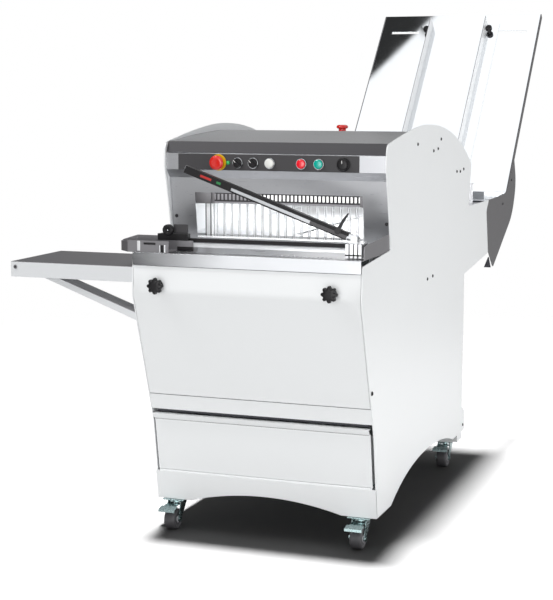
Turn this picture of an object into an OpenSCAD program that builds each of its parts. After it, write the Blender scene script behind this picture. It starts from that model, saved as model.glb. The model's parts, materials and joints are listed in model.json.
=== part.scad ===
// Bread slicer on castors: two shaped side panels carry a head with two reciprocating
// blade frames, an outfeed tray with a packing comb, a tilted loading chute behind,
// a crumb drawer and a service door below, and a side table on the left.
// Millimetres, +Z up. Shapes are drawn in the machine's own frame: X from the mid-plane,
// Y to the rear from the plinth, Z from the floor. placed() moves all of it so that the
// origin lies on the floor under the middle of the whole machine.

/* [Body] */
// Width over the two side panels
body_w = 610; // [560:1:680]
// Sheet thickness of the side panels and chute cheeks
panel_t = 3; // [2:0.5:4]
// Sheet thickness of covers, trays, door and drawer
sheet_t = 2; // [1.5:0.25:3]
// Gap between pieces that move past each other
run_gap = 0.4; // [0.3:0.05:0.7]
// Radial clearance of a shaft in its bore
fit_gap = 0.05; // [0.03:0.01:0.1]

/* [Side profile] */
// Front foot corner, Y
foot_y = 8; // [0:1:20]
// Bend above the drawer, Y
chin_y = -27; // [-45:1:-10]
// Bend above the drawer, Z
chin_z = 300; // [285:1:315]
// Knee of the front, Y
knee_y = -145; // [-170:1:-120]
// Knee of the front, Z
knee_z = 650; // [620:1:660]
// Front end of the tray shelf, Y
shelf_y = -138; // [-165:1:-115]
// Front end of the tray shelf, Z
shelf_z = 742; // [735:1:748]
// Rear end of the tray shelf, Y
brow_y = 106; // [95:1:115]
// Rear end of the tray shelf, Z
brow_z = 758; // [752:1:764]
// Foremost point of the head, Y
nose_y = 61; // [50:1:70]
// Foremost point of the head, Z
nose_z = 960; // [940:1:975]
// Front end of the dome, Y
dome_front_y = 79; // [70:1:90]
// Front end of the dome, Z
dome_front_z = 1028; // [1020:1:1040]
// Crest of the dome, Y
dome_y = 455; // [420:1:490]
// Crest of the dome, Z
dome_z = 1068; // [1060:1:1090]
// Rear corner of the head, Y
tail_y = 1008; // [985:1:1030]
// Rear corner of the head, Z
tail_z = 937; // [915:1:955]
// Inner corner behind the head, Y
notch_y = 980; // [960:1:1000]
// Top edge of the infeed arm, Z
arm_z = 806; // [795:1:815]
// Rear end of the infeed arm, Y
arm_y = 1270; // [1220:1:1320]
// Lower corner at the rear end of the arm, Z
arm_low_z = 632; // [615:1:650]
// Elbow under the arm, Y
elbow_y = 858; // [830:1:880]
// Elbow under the arm, Z
elbow_z = 594; // [580:1:610]
// Waist of the rear edge, Y
waist_y = 703; // [690:1:740]
// Waist of the rear edge, Z
waist_z = 323; // [300:1:345]
// Rear foot, Y
heel_y = 970; // [955:1:990]
// Upper corner of the rear foot, Z
heel_z = 167; // [160:1:180]
// Lower edge of the rear foot, Z
heel_low_z = 105; // [100:1:112]
// Crest of the side arch, Y
arch_y = 500; // [450:1:550]
// Crest of the side arch, Z
arch_z = 148; // [135:1:149]
// Front end of the side arch, Y
arch_front_y = 134; // [110:1:160]
// Rear end of the side arch, Y
arch_rear_y = 819; // [790:1:840]

/* [Front] */
// Top edge of the plinth, Z
plinth_z = 158; // [154:0.5:159]
// How far the plinth stands in front of the panel edges
plinth_proud = 8; // [5:0.5:12]
// Width of a plinth foot beside the arch
plinth_foot_w = 95; // [75:1:120]
// Height of the plinth arch
plinth_arch_h = 30; // [20:1:40]
// Depth of the drawer box behind its face
drawer_depth = 430; // [380:5:450]
// Underside of the drawer box, Z
drawer_z = 163; // [160.5:0.5:166]
// Top edge of the drawer face, Z
drawer_top = 323; // [305:1:328]
// Height of the pull lip along the drawer's top edge
lip_h = 18; // [12:1:24]
// Lower edge of the fixed band over the drawer, Z
band_low = 332; // [330:1:338]
// Upper edge of the fixed band, Z
band_top = 374; // [365:1:385]
// Visible gap round the door
door_gap = 2; // [1.5:0.5:4]
// Height of the door's pivot pins above its lower edge
pivot_rise = 40; // [30:1:55]
// Distance of the star knobs from the side panels
knob_inset = 72; // [50:1:100]
// Height of the star knobs, Z
knob_z = 675; // [665:1:690]
// Radius of a star knob over its lobes
star_r = 21; // [18:0.5:24]

/* [Outfeed] */
// Lower edge of the tray's front apron, Z
apron_low = 724; // [715:1:730]
// How far the apron stands in front of the panel edges
apron_proud = 5; // [3:0.5:8]
// Top face of the tray, Z
tray_z = 756; // [752:0.5:757]
// Height of the tray's right end plate above the tray
end_plate_h = 43; // [38:1:55]
// Centre line of the tray's stop rail, Y
rail_y = -60; // [-70:1:-50]
// Centre line of the tray's stop rail, Z
rail_z = 783; // [780:1:788]
// Side of the square stop rail
rail_a = 10; // [8:0.5:11]
// Distance of the press arm's pivot from the right panel
press_inset = 40; // [36:1:50]
// Length of the press arm from its pivot
press_len = 480; // [430:5:485]
// Slope of the press arm in its raised rest position
press_angle = 20; // [18:0.5:28]
// Height of the press arm's bar
press_h = 19; // [16:1:22]
// How far the bag scoop reaches out past the left panel
scoop_out = 44; // [30:1:60]

/* [Head] */
// Width of the head sheet beside the bread window, on each side
window_margin = 72.5; // [68:0.5:80]
// Lower edge of the bread window, Z
window_low = 773; // [771:0.5:775]
// Upper edge of the bread window, Z
window_top = 894; // [885:1:905]
// How far the head's front sheet lies behind the panel edges
head_inset = 8; // [5:0.5:12]
// Drop of the crease below the console face
crease_drop = 20; // [14:1:26]
// Height of the console face
console_h = 44; // [40:1:48]
// Upper edge of the console plate, Z
console_top = 997; // [995:0.5:1000]
// Head sheet left bare beside the console plate, on the left
console_left_bare = 35; // [20:1:50]
// Head sheet left bare beside the console plate, on the right
console_right_bare = 71; // [50:1:85]
// Drop of the top cover below the crest of the dome
cover_drop = 20; // [12:1:26]

/* [Controls] */
// Radius of the panel holes for buttons and selectors
hole_r = 11.2; // [11.1:0.05:11.4]
// Radius of a button cap
cap_r = 12; // [11.7:0.1:12.6]
// Radius of a button bezel
bezel_r = 14.8; // [14.2:0.1:15.6]
// Radius of an emergency-stop mushroom
mushroom_r = 19; // [16:0.5:20]
// Radius of the speed knob
speed_r = 18; // [15:0.5:20]

/* [Blades] */
// Distance between neighbouring blades
blade_pitch = 11; // [10.8:0.1:11.2]
// Blade thickness
blade_t = 0.8; // [0.6:0.1:1]
// Blade depth
blade_d = 10; // [8:0.5:11]
// Thickness of a blade frame
frame_t = 12; // [11:0.5:13]
// Middle plane between the two blade frames, Y
frame_y = 180; // [178:1:184]
// Gap between the two blade frames
frame_gap = 6; // [5:0.5:8]
// Lower edge of the upper blade holder, Z
holder_z = 862; // [858:0.5:866]
// Height of a blade holder
holder_h = 30; // [26:1:34]
// Width of a frame post
post_w = 18; // [15:1:20]
// Stroke of a blade frame to each side of the middle
stroke = 15; // [10:1:16]

/* [Drive] */
// Height of the crankshaft, Z
crank_z = 470; // [460:1:490]
// Radius of the crankshaft
crank_shaft_r = 15; // [12:0.5:16]
// Radius of the eccentrics
eccentric_r = 34; // [33:0.5:38]
// Length of a connecting rod between centres
rod_len = 150; // [140:1:155]
// Distance of each connecting rod from the mid-plane
rod_x = 40; // [34:1:60]
// Motor axis, Y
motor_y = 560; // [545:1:575]
// Motor axis, Z
motor_z = 430; // [425:1:445]
// Radius of the motor frame
motor_r = 65; // [58:1:68]
// Distance of the belt plane from the left panel
belt_inset = 87; // [80:1:100]
// Groove radius of the driven pulley
driven_r = 80; // [70:1:90]
// Groove radius of the motor pulley
driver_r = 36; // [30:1:44]

/* [Infeed and chute] */
// Top face of the infeed table, Z
table_z = 775; // [773:0.5:777]
// Width of the slot for the pusher's stem
slot_w = 18; // [16:0.5:22]
// Lower front edge of the chute, Y
chute_y = 1570; // [1540:1:1600]
// Lower front edge of the chute, Z
chute_z = 812; // [800:1:820]
// Length of the chute plate up its slope
chute_len = 858; // [800:1:900]
// Slope of the chute
chute_angle = 47.4; // [44:0.2:50]
// Depth of the chute's folded side flanges
chute_flange = 18; // [12:1:22]
// Distance of the guide slots below the chute's upper edge
guide_drop = 89; // [70:1:110]
// Inner face of a chute guide at rest, X
guide_x = 105; // [95:1:115]
// Height of a chute guide
guide_h = 45; // [35:1:60]
// Sideways travel of a chute guide
guide_travel = 130; // [100:1:135]

/* [Side table] */
// How far the side table reaches out from the panel
shelf_len = 353; // [320:1:400]
// Depth of the side table
shelf_depth = 275; // [220:1:300]
// Top of the side table, Z
shelf_top = 718; // [705:1:725]
// Height of the side table's folded edges
shelf_edge = 40; // [30:1:45]

/* [Castors] */
// Height of a castor
castor_h = 80; // [78:1:84]
// Radius of a castor wheel
wheel_r = 28; // [26:0.5:28.5]
// Width of a castor wheel
wheel_w = 32; // [26:1:34]
// Distance of a swivel axis from the panel's inner face
castor_inset = 44; // [40:1:55]
// Front swivel axes, Y
castor_front_y = 22; // [20:1:40]
// Rear swivel axes, Y
castor_rear_y = 922; // [905:1:925]
// Trail of a wheel in front of its swivel axis
castor_trail = 30; // [26:1:34]

/* [Hidden] */
$fn = 64;

// Colours as the eye sees them
white_coat = "#E8EBEB";
steel = "#B9BABD";
polished = "#D9DCDE";
dark_coat = "#4B4A4C";
grey_coat = "#6A696B";
zinc = "#A9B7B5";
black = "#1E1D1F";

// Inner face of a side panel and the fit between the panels
half_in = body_w / 2 - panel_t;
half_out = body_w / 2;

// Places across the machine that follow its width
window_w = body_w - 2 * window_margin;
plinth_arch_w = body_w - 2 * plinth_foot_w;
knob_x = half_in - knob_inset;
belt_x = belt_inset - half_in;
press_x = half_in - press_inset;
castor_x = half_in - castor_inset;

// Console and the row of controls, as shares of the console's width
console_low = console_top - console_h;
console_left = console_left_bare - half_in;
console_right = half_in - console_right_bare;
console_w = console_right - console_left;
control_z = console_top - console_h / 2;
crease_z = console_low - crease_drop;
stop_x = console_left + 0.231 * console_w;
select_a_x = console_left + 0.34 * console_w;
select_b_x = console_left + 0.426 * console_w;
white_x = console_left + 0.518 * console_w;
red_x = console_left + 0.691 * console_w;
green_x = console_left + 0.785 * console_w;
speed_x = console_left + 0.918 * console_w;
lamp_r = 5;
stop_ring_r = mushroom_r + 2.5;
lamp_x = stop_x + stop_ring_r + lamp_r + 0.5;

// Small helpers for outlines in the Y-Z plane
function bezier(a, b, c, n = 8) =
  [for (i = [0 : n]) let (t = i / n) a * (1 - t) * (1 - t) + 2 * b * t * (1 - t) + c * t * t];
function unit(v) = v / norm(v);
function turn_left(v) = [-v[1], v[0]];
function edge_normal(p, i) = turn_left(unit(p[i + 1] - p[i]));
function corner_normal(p, i) =
  i == 0 ? edge_normal(p, 0)
  : i == len(p) - 1 ? edge_normal(p, i - 1)
  : let (a = edge_normal(p, i - 1), b = edge_normal(p, i)) (a + b) / (1 + a * b);
// A folded sheet: the path is its outer face, the material lies to the right of it
function folded(p, t = sheet_t) =
  concat(p, [for (i = [len(p) - 1 : -1 : 0]) p[i] - t * corner_normal(p, i)]);
// A corner cut back by d on both sides and rounded
function fillet(a, b, c, d) = bezier(b + d * unit(a - b), b, b + d * unit(c - b), 5);
function flat(p) = [p[0], p[1]];
// An outline of [y, z, rounding] corners
function rounded(p) = [
  for (i = [0 : len(p) - 1])
    let (n = len(p), a = flat(p[(i + n - 1) % n]), b = flat(p[i]), c = flat(p[(i + 1) % n]))
      each p[i][2] == 0 ? [b] : fillet(a, b, c, p[i][2])
];
function sharp(points) = [for (p = points) [p[0], p[1], 0]];
function mix(a, b, t) = a + (b - a) * t;
// The panels' front edge at a given height
function front_y(z) =
  z < chin_z ? mix(foot_y, chin_y, (z - castor_h) / (chin_z - castor_h))
  : z < knee_z ? mix(chin_y, knee_y, (z - chin_z) / (knee_z - chin_z))
  : mix(knee_y, shelf_y, (z - knee_z) / (shelf_z - knee_z));

// Outline of the dome, shared by the side panels and the top cover
dome_front_pull = mix(dome_front_y, dome_y, 0.68);
dome_rear_pull = mix(dome_y, tail_y, 0.6);
function dome_front(drop_a, drop_b) = bezier(
  [dome_front_y, dome_front_z - drop_a], [dome_front_pull, dome_z - drop_b],
  [dome_y, dome_z - drop_b], 10);
function dome_rear(drop) = bezier(
  [dome_y, dome_z - drop], [dome_rear_pull, dome_z - drop], [tail_y, tail_z - drop], 14);

// Seam between the infeed arm and the chute cheek
seam_bulge = 28;
seam_round = 7;
seam = [
  [arm_y + seam_round, arm_z],
  [arm_y - seam_bulge, arm_z - 34],
  [arm_y + seam_round, arm_low_z + 9]
];
seam_gap = 0.3;

// Door, drawer and tray places that follow the front edge
door_low = band_top + door_gap;
door_top = apron_low - door_gap;
pivot_z = door_low + pivot_rise;
pivot_in = 12;
pivot_y = front_y(pivot_z) + pivot_in;
pin_r = 5;
door_flange = 24;
stud_r = 5;
apron_y = front_y(apron_low) - apron_proud;

// Head sheet and console places
face_foot_y = brow_y + head_inset;
face_top_y = face_foot_y - 18;
crease_y = face_top_y - 6;
console_y = nose_y + head_inset;
console_t = sheet_t;
strip_rise = 29;
strip_lean = 14;

// Blade frame places
front_plane = frame_y - frame_gap / 2 - frame_t;
rear_plane = frame_y + frame_gap / 2;
post_set = 2.5;
post_x = window_w / 2 - post_w - post_set;
blade_end_gap = 10;
blade_n = 2 * floor((post_x - blade_end_gap) / blade_pitch) + 1;
blade_span = (blade_n - 1) * blade_pitch;
lower_holder_z = tray_z - 26 - holder_h;
post_low = lower_holder_z - 92;
post_top = holder_z + 118;
landing_back = front_plane - 6;
table_front = rear_plane + frame_t + 7;

// Drive places
rod_w = 16;
eye_z = crank_z + rod_len;
groove_d = 9;
groove_w = 10;
belt_t = 8;
belt_w = groove_w - 2 * run_gap;
belt_in = 0.8;
motor_shelf_z = motor_z - motor_r - 13;

// Chute frame: s runs up the slope, n stands off the plate
chute_u = [cos(chute_angle), sin(chute_angle)];
guide_s = chute_len - guide_drop;
guide_slot_w = 10;
guide_base_w = 48;
guide_stud_x = guide_x + 15;
guide_stud_r = 4;
guide_start = 70;
guide_top_margin = 50;

// Outfeed places
rail_top = rail_z + rail_a / 2;
press_z = rail_top + 14;
comb_w = 46;
comb_x = press_x - 12;
comb_d = 30;
press_w = 16;
fin_n = 4;
fin_t = 8;

// Front drawer
drawer_side = 12;
drawer_face_gap = 6;

// Whole-machine reach, used to centre the origin
reach_left = half_out + shelf_len;
reach_front = front_y(knob_z) - 36;
reach_back = chute_y + chute_len * chute_u[0] + chute_flange * chute_u[1];
mid_x = (half_out - reach_left) / 2;
mid_y = (reach_front + reach_back) / 2;

module placed() {
  translate([-mid_x, -mid_y, 0]) children();
}

// A plate with a Y-Z outline, from x0 towards +X
module plate_yz(outline, x0, t) {
  translate([x0, 0, 0]) rotate([90, 0, 90]) linear_extrude(t) polygon(outline);
}

// A folded sheet that spans the machine, hw to each side of the mid-plane
module span_sheet(path, hw, t = sheet_t) {
  plate_yz(folded(path, t), -hw, 2 * hw);
}

// A turned piece whose local +Z points to the front
module facing_front(x, y, z) {
  translate([x, y, z]) rotate([90, 0, 0]) children();
}

module box(a, b) {
  translate(a) cube(b - a);
}

module both_sides() {
  children();
  mirror([1, 0, 0]) children();
}

// Pieces of the chute are drawn flat and then tilted: x across, y up the slope, z off the plate
module on_chute() {
  translate([0, chute_y, chute_z]) rotate([chute_angle, 0, 0]) children();
}

module panel_shape() {
  panel = rounded(concat(
    [[foot_y, castor_h, 0], [chin_y, chin_z, 20], [knee_y, knee_z, 14],
      [shelf_y, shelf_z, 4], [brow_y, brow_z, 0]],
    sharp(bezier([brow_y, brow_z],
      [mix(brow_y, nose_y, 0.4), mix(brow_z, nose_z, 0.51)], [nose_y, nose_z])),
    sharp(bezier([nose_y, nose_z], [nose_y - 6, dome_front_z - 4], [dome_front_y, dome_front_z], 6)),
    sharp(dome_front(0, 0)),
    sharp(dome_rear(0)),
    [[tail_y - 2, mix(tail_z, arm_z, 0.12), 0], [notch_y, arm_z, 14]],
    [[seam[0][0] - seam_gap, arm_z, 8], [seam[1][0] - seam_gap, seam[1][1], 10],
      [seam[2][0] - seam_gap, seam[2][1] - 9, 6]],
    [[elbow_y, elbow_z, 14], [waist_y, waist_z + 22, 18], [waist_y, waist_z - 20, 18],
      [heel_y, heel_z, 6], [heel_y + 2, heel_low_z, 3]],
    sharp(bezier([arch_rear_y, heel_low_z], [mix(arch_y, arch_rear_y, 0.62), arch_z], [arch_y, arch_z])),
    sharp(bezier([arch_y, arch_z], [mix(arch_front_y, arch_y, 0.42), arch_z], [arch_front_y, castor_h]))
  ));
  plate_yz(panel, half_in, panel_t);
  // Pivot pin of the front door
  translate([half_in - 14, pivot_y, pivot_z]) rotate([0, 90, 0]) cylinder(r = pin_r, h = 14 + panel_t / 2);
}

module side_panel_right() {
  color(white_coat) panel_shape();
}

module side_panel_left() {
  color(white_coat) mirror([1, 0, 0]) panel_shape();
}

// The arch under the plinth and the cross beams, cut from y towards the front
module plinth_arch(y, depth, lift = 0) {
  arch_r = (plinth_arch_w * plinth_arch_w / 4 + plinth_arch_h * plinth_arch_h) / (2 * plinth_arch_h);
  translate([0, y, castor_h + plinth_arch_h - arch_r + lift]) rotate([90, 0, 0])
    cylinder(r = arch_r, h = depth, $fn = 180);
}

module front_panels() {
  band_fold = 22;
  color(white_coat) {
    // Plinth: a folded channel in front of the panel edges, with an arch between its feet
    difference() {
      span_sheet([
        [front_y(plinth_z), plinth_z], [front_y(plinth_z) - plinth_proud, plinth_z],
        [front_y(castor_h) - plinth_proud, castor_h], [front_y(castor_h), castor_h]
      ], half_out, -sheet_t);
      plinth_arch(60, 120);
    }
    // Fixed band between the drawer and the door
    span_sheet([
      [front_y(band_low) + band_fold, band_low], [front_y(band_low), band_low],
      [front_y(band_top), band_top], [front_y(band_top) + band_fold, band_top]
    ], half_in);
  }
}

beam_d = 60;
beam_wall = 3;
beam_top = 150;
castor_plate_t = 3;
castor_plate_a = 60;
kingpin_r = 6;
kingpin_drop = 17;

module cross_beam(y0) {
  difference() {
    box([-half_in, y0, castor_h], [half_in, y0 + beam_d, beam_top]);
    plinth_arch(y0 + beam_d + 1, beam_d + 2, beam_wall);
  }
}

module base_frame() {
  color(zinc) {
    cross_beam(foot_y + 2);
    cross_beam(castor_rear_y - beam_d / 2);
    box([-half_in, foot_y + 2, beam_top], [half_in, castor_rear_y + beam_d / 2, beam_top + beam_wall]);
    // Castor plates and their kingpins
    for (sx = [-1, 1], y = [castor_front_y, castor_rear_y]) translate([sx * castor_x, y, 0]) {
      box([-castor_plate_a / 2, -castor_plate_a / 2, castor_h - castor_plate_t],
        [castor_plate_a / 2, castor_plate_a / 2, castor_h]);
      translate([0, 0, castor_h - castor_plate_t - kingpin_drop])
        cylinder(r = kingpin_r, h = kingpin_drop + 1);
    }
    // Motor shelf between the side panels
    span_sheet([
      [motor_y - 80, motor_shelf_z - 30], [motor_y - 80, motor_shelf_z],
      [motor_y + 80, motor_shelf_z], [motor_y + 80, motor_shelf_z - 30]
    ], half_in, 3);
  }
}

module outfeed_tray() {
  slot_n = blade_n + 3;
  comb_slot_w = 4;
  comb_slot_l = 26;
  color(steel) {
    difference() {
      span_sheet([
        [apron_y + 14, apron_low], [apron_y, apron_low], [apron_y, tray_z], [landing_back, tray_z]
      ], half_in);
      for (i = [0 : slot_n - 1])
        translate([(i - (slot_n - 1) / 2) * blade_pitch - comb_slot_w / 2, apron_y + 20, tray_z - 10])
          cube([comb_slot_w, comb_slot_l, 20]);
    }
    // Upright plate at the right end
    plate_yz(rounded([
      [apron_y + 28, tray_z - sheet_t, 0], [landing_back - 58, tray_z - sheet_t, 0],
      [landing_back - 58, tray_z + end_plate_h, 6], [apron_y + 28, tray_z + end_plate_h - 10, 10]
    ]), half_in - sheet_t, sheet_t);
  }
}

control_holes = [
  [stop_x, hole_r], [select_a_x, hole_r], [select_b_x, hole_r], [white_x, hole_r],
  [red_x, hole_r], [green_x, hole_r], [speed_x, 5.4]
];

module control_drill(y0, y1) {
  for (c = control_holes) facing_front(c[0], y1, control_z) cylinder(r = c[1], h = y1 - y0);
}

module head_front() {
  half_win = window_w / 2;
  color(steel) difference() {
    union() {
      span_sheet([
        [face_foot_y, tray_z + 1], [face_top_y, window_top - 4], [crease_y, crease_z],
        [console_y, console_low + sheet_t], [console_y, console_top + 1]
      ], half_in);
      // Landing that carries the loaf from the blades to the tray
      box([-half_in, face_foot_y, window_low - sheet_t], [half_in, landing_back, window_low]);
    }
    box([-half_win, console_y - 40, window_low], [half_win, landing_back + 1, window_top]);
    control_drill(console_y - 5, console_y + 8);
  }
}

strip_path = [[console_y + sheet_t, console_top + sheet_t],
  [console_y + sheet_t + strip_lean, console_top + sheet_t + strip_rise]];

module bezel(x, inner, outer = bezel_r, h = 4.5) {
  facing_front(x, console_y - console_t, control_z) difference() {
    cylinder(r = outer, h = h);
    translate([0, 0, -1]) cylinder(r = inner, h = h + 2);
  }
}

module control_panel() {
  color(dark_coat) {
    difference() {
      box([console_left, console_y - console_t, console_low + sheet_t], [console_right, console_y, console_top]);
      control_drill(console_y - 5, console_y + 8);
    }
    // Plain strip along the front edge of the top cover
    plate_yz(folded(strip_path, -1.5), -half_in, 2 * half_in);
  }
  color(black) {
    for (x = [select_a_x, select_b_x, white_x, red_x, green_x]) bezel(x, cap_r + run_gap);
  }
  color("#E0B000") bezel(stop_x, hole_r + 0.3, stop_ring_r, 3);
  color("#1A9A4A") facing_front(lamp_x, console_y - console_t, control_z)
    rotate_extrude() polygon([[0, 0], [lamp_r, 0], [lamp_r, 2.5], [lamp_r - 1.4, 4.5], [0, 5]]);
}

// Place of the rear emergency stop on the top cover
rear_stop_t = 0.31;
rear_stop_y = mix(mix(dome_y, dome_rear_pull, rear_stop_t), mix(dome_rear_pull, tail_y, rear_stop_t), rear_stop_t);
rear_stop_z = mix(dome_z, mix(dome_z, tail_z, rear_stop_t), rear_stop_t) - cover_drop;
collar_h = 7;
rear_mushroom_r = 17;

module top_cover() {
  hem = [[tail_y - 12, tail_z - cover_drop - 1], [tail_y - 12, tail_z - cover_drop - 40]];
  cover = concat(strip_path,
    [for (p = bezier(strip_path[1], [dome_front_pull, dome_z - cover_drop], [dome_y, dome_z - cover_drop], 10))
      if (p[0] > strip_path[1][0] + 1) p],
    [for (p = dome_rear(cover_drop)) if (p[0] > dome_y + 1 && p[0] < tail_y - 14) p],
    hem);
  color(steel) difference() {
    union() {
      span_sheet(cover, half_in);
      translate([0, rear_stop_y, rear_stop_z - 14]) cylinder(r = 17, h = 14 + collar_h);
    }
    translate([0, rear_stop_y, rear_stop_z - 40]) cylinder(r = hole_r, h = 80);
  }
}

module rear_cover() {
  rear_y = castor_rear_y + beam_d / 2;
  slope = (arm_low_z - elbow_z) / (arm_y - elbow_y);
  pan_z = elbow_z + slope * (rear_y - elbow_y) + 4;
  pan_end_z = elbow_z + slope * (arm_y - 8 - elbow_y) + 4;
  side_y = waist_y - 45;
  color("#DDE0E2") {
    span_sheet([
      [arm_y - 8, table_z - 66], [arm_y - 8, pan_end_z], [rear_y, pan_z],
      [rear_y, beam_top + beam_wall]
    ], half_in);
    // Side flanges that close the notch behind the waist, up to the arm's pan
    both_sides() plate_yz([
      [side_y, beam_top + beam_wall], [rear_y - sheet_t, beam_top + beam_wall],
      [rear_y - sheet_t, pan_z - sheet_t], [side_y, pan_z + slope * (side_y - rear_y)]
    ], half_in - sheet_t, sheet_t);
  }
}

table_edge = 60;
slot_margin = 50;
slot_front = table_front + slot_margin;
slot_back = chute_y - table_edge;
guide_rod_r = 10;
guide_rod_z = table_z - 42;
pusher_y = chute_y - 90;
carriage_l = 60;

module infeed_table() {
  color(steel) {
    difference() {
      span_sheet([
        [table_front, table_z - table_edge], [table_front, table_z],
        [chute_y, table_z], [chute_y, table_z - table_edge]
      ], half_in);
      box([-slot_w / 2, slot_front, table_z - 20], [slot_w / 2, slot_back, table_z + 10]);
    }
    // Guide rod of the pusher under the table
    translate([0, table_front + sheet_t, guide_rod_z]) rotate([-90, 0, 0])
      cylinder(r = guide_rod_r, h = chute_y - table_front - 2 * sheet_t);
  }
}

module chute_plate() {
  top = [chute_y, chute_z] + chute_len * chute_u;
  down = [chute_u[1], -chute_u[0]];
  base = [chute_y, chute_z];
  color(polished) {
    difference() {
      span_sheet([[chute_y, table_z - 30], base, top, top + 14 * down], half_in);
      for (sx = [-1, 1]) on_chute()
        box([min(sx * (guide_stud_x - guide_slot_w), sx * (guide_stud_x + guide_travel + guide_slot_w)),
            guide_s - guide_slot_w / 2, -20],
          [max(sx * (guide_stud_x - guide_slot_w), sx * (guide_stud_x + guide_travel + guide_slot_w)),
            guide_s + guide_slot_w / 2, 20]);
    }
    // Side flanges folded down behind the plate
    both_sides() plate_yz([
      base + sheet_t * down, top + sheet_t * down, top + chute_flange * down, base + chute_flange * down
    ], half_in - sheet_t, sheet_t);
  }
}

module chute_cheeks() {
  cheek = rounded([
    [seam[0][0] + seam_gap, seam[0][1], 4], [seam[1][0] + seam_gap, seam[1][1], 10],
    [seam[2][0] + seam_gap, seam[2][1], 6], [arm_y + 91, arm_low_z - 57, 10],
    [chute_y + 102, table_z - 48, 60], [chute_y + 158, table_z + 60, 50],
    [chute_y + 0.19 * chute_len * chute_u[0], chute_z + 0.19 * chute_len * chute_u[1], 14],
    [chute_y, chute_z, 30], [mix(arm_y, chute_y, 0.5), arm_z, 0]
  ]);
  color(grey_coat) both_sides() plate_yz(cheek, half_in, panel_t);
}

shelf_back_y = shelf_y + shelf_depth;
brace_y = shelf_y + 18;
brace_w = 58;
brace_h = 20;
brace_drop = 121;

module side_table() {
  brace_low_x = -half_out - 0.768 * shelf_len;
  brace_top_x = -half_out - 0.64 * shelf_len;
  brace_z = shelf_top - brace_drop;
  edge_z = shelf_top - shelf_edge;
  lug_z = shelf_top - sheet_t;
  color(white_coat) {
    difference() {
      box([-reach_left, shelf_y, edge_z], [-half_out, shelf_back_y, shelf_top]);
      box([-reach_left + sheet_t, shelf_y + sheet_t, edge_z - 1],
        [-half_out - sheet_t, shelf_back_y - sheet_t, lug_z]);
    }
    // Slanted brace from the panel to the table's underside, with a lug inside the table
    translate([0, brace_y + brace_w, 0]) rotate([90, 0, 0]) linear_extrude(brace_w) polygon([
      [-half_out, brace_z], [-half_out, brace_z - brace_h], [brace_low_x, edge_z],
      [brace_low_x, lug_z], [brace_top_x, lug_z], [brace_top_x, edge_z]
    ]);
  }
}

module bag_scoop() {
  scoop_right = -half_in + 98;
  scoop_left = -half_out - scoop_out;
  scoop_front = apron_y + 3;
  scoop_back = rail_y - comb_d / 2 - 2;
  front_h = 30;
  back_h = 38;
  mouth_y = mix(scoop_front, scoop_back, 0.55);
  // Outer face of the wall: along the front, round the cut-off left end and back along the rear
  rim = [
    [scoop_right, scoop_front], [-half_out - 12, scoop_front], [scoop_left, mouth_y - 6],
    [scoop_left, mouth_y + 6], [-half_out - 15, scoop_back], [scoop_right, scoop_back]
  ];
  color(steel) difference() {
    translate([0, 0, tray_z]) {
      linear_extrude(back_h) polygon(folded(rim));
      linear_extrude(sheet_t) polygon(rim);
    }
    // The front wall is lower than the rear wall, and the left end slopes between them
    box([-half_out - 13, scoop_front - 1, tray_z + front_h], [scoop_right + 1, mouth_y, tray_z + back_h + 1]);
    translate([scoop_left - 1, 0, tray_z]) rotate([90, 0, 90]) linear_extrude(scoop_out - 12)
      polygon([[scoop_front - 1, front_h - 3], [mouth_y, front_h - 5], [scoop_back + 1, back_h],
        [scoop_back + 1, back_h + 2], [scoop_front - 1, back_h + 2]]);
    // Long slot in the front wall
    box([-half_out + 32, scoop_front - 1, tray_z + front_h - 10],
      [-half_out + 66, scoop_front + sheet_t + 1, tray_z + front_h - 4]);
  }
}

stop_block_inset = 38;
stop_block_w = 79;
stop_block_h = 42;
stop_wheel_d = 29;

module stop_rail() {
  block_top = tray_z + stop_block_h;
  block_left = stop_block_inset - half_in;
  block_w = stop_block_w;
  wheel_d = stop_wheel_d;
  color(black) {
    box([block_left, rail_y - comb_d / 2, tray_z], [block_left + block_w, rail_y + comb_d / 2, block_top]);
    box([block_left + block_w, rail_y - rail_a / 2, rail_z - rail_a / 2],
      [half_in - sheet_t, rail_y + rail_a / 2, rail_z + rail_a / 2]);
    // Upright stop plate on the block
    box([block_left + block_w / 2, rail_y - 2, block_top], [block_left + block_w, rail_y + 2, block_top + 24]);
    // Round end knob
    facing_front(block_left + 34, rail_y - comb_d / 2, block_top + 11) rotate_extrude()
      polygon([[0, 0], [wheel_d / 2 - 2, 0], [wheel_d / 2, 2], [wheel_d / 2, 12], [wheel_d / 2 - 3, 15],
        [7, 15], [6, 12], [0, 12]]);
  }
}

module pulley(groove_radius, hub_r) {
  rim = groove_radius + groove_d;
  half_w = groove_w / 2;
  rotate([0, 90, 0]) rotate_extrude($fn = 96) polygon([
    [0, -half_w - 5], [rim, -half_w - 5], [rim, -half_w], [groove_radius, -half_w],
    [groove_radius, half_w], [rim, half_w], [rim, half_w + 5], [hub_r, half_w + 5],
    [hub_r, half_w + 16], [0, half_w + 16]
  ]);
}

motor_shaft_r = 9.5;
motor_left = belt_x + 60;
motor_len = 220;

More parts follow.
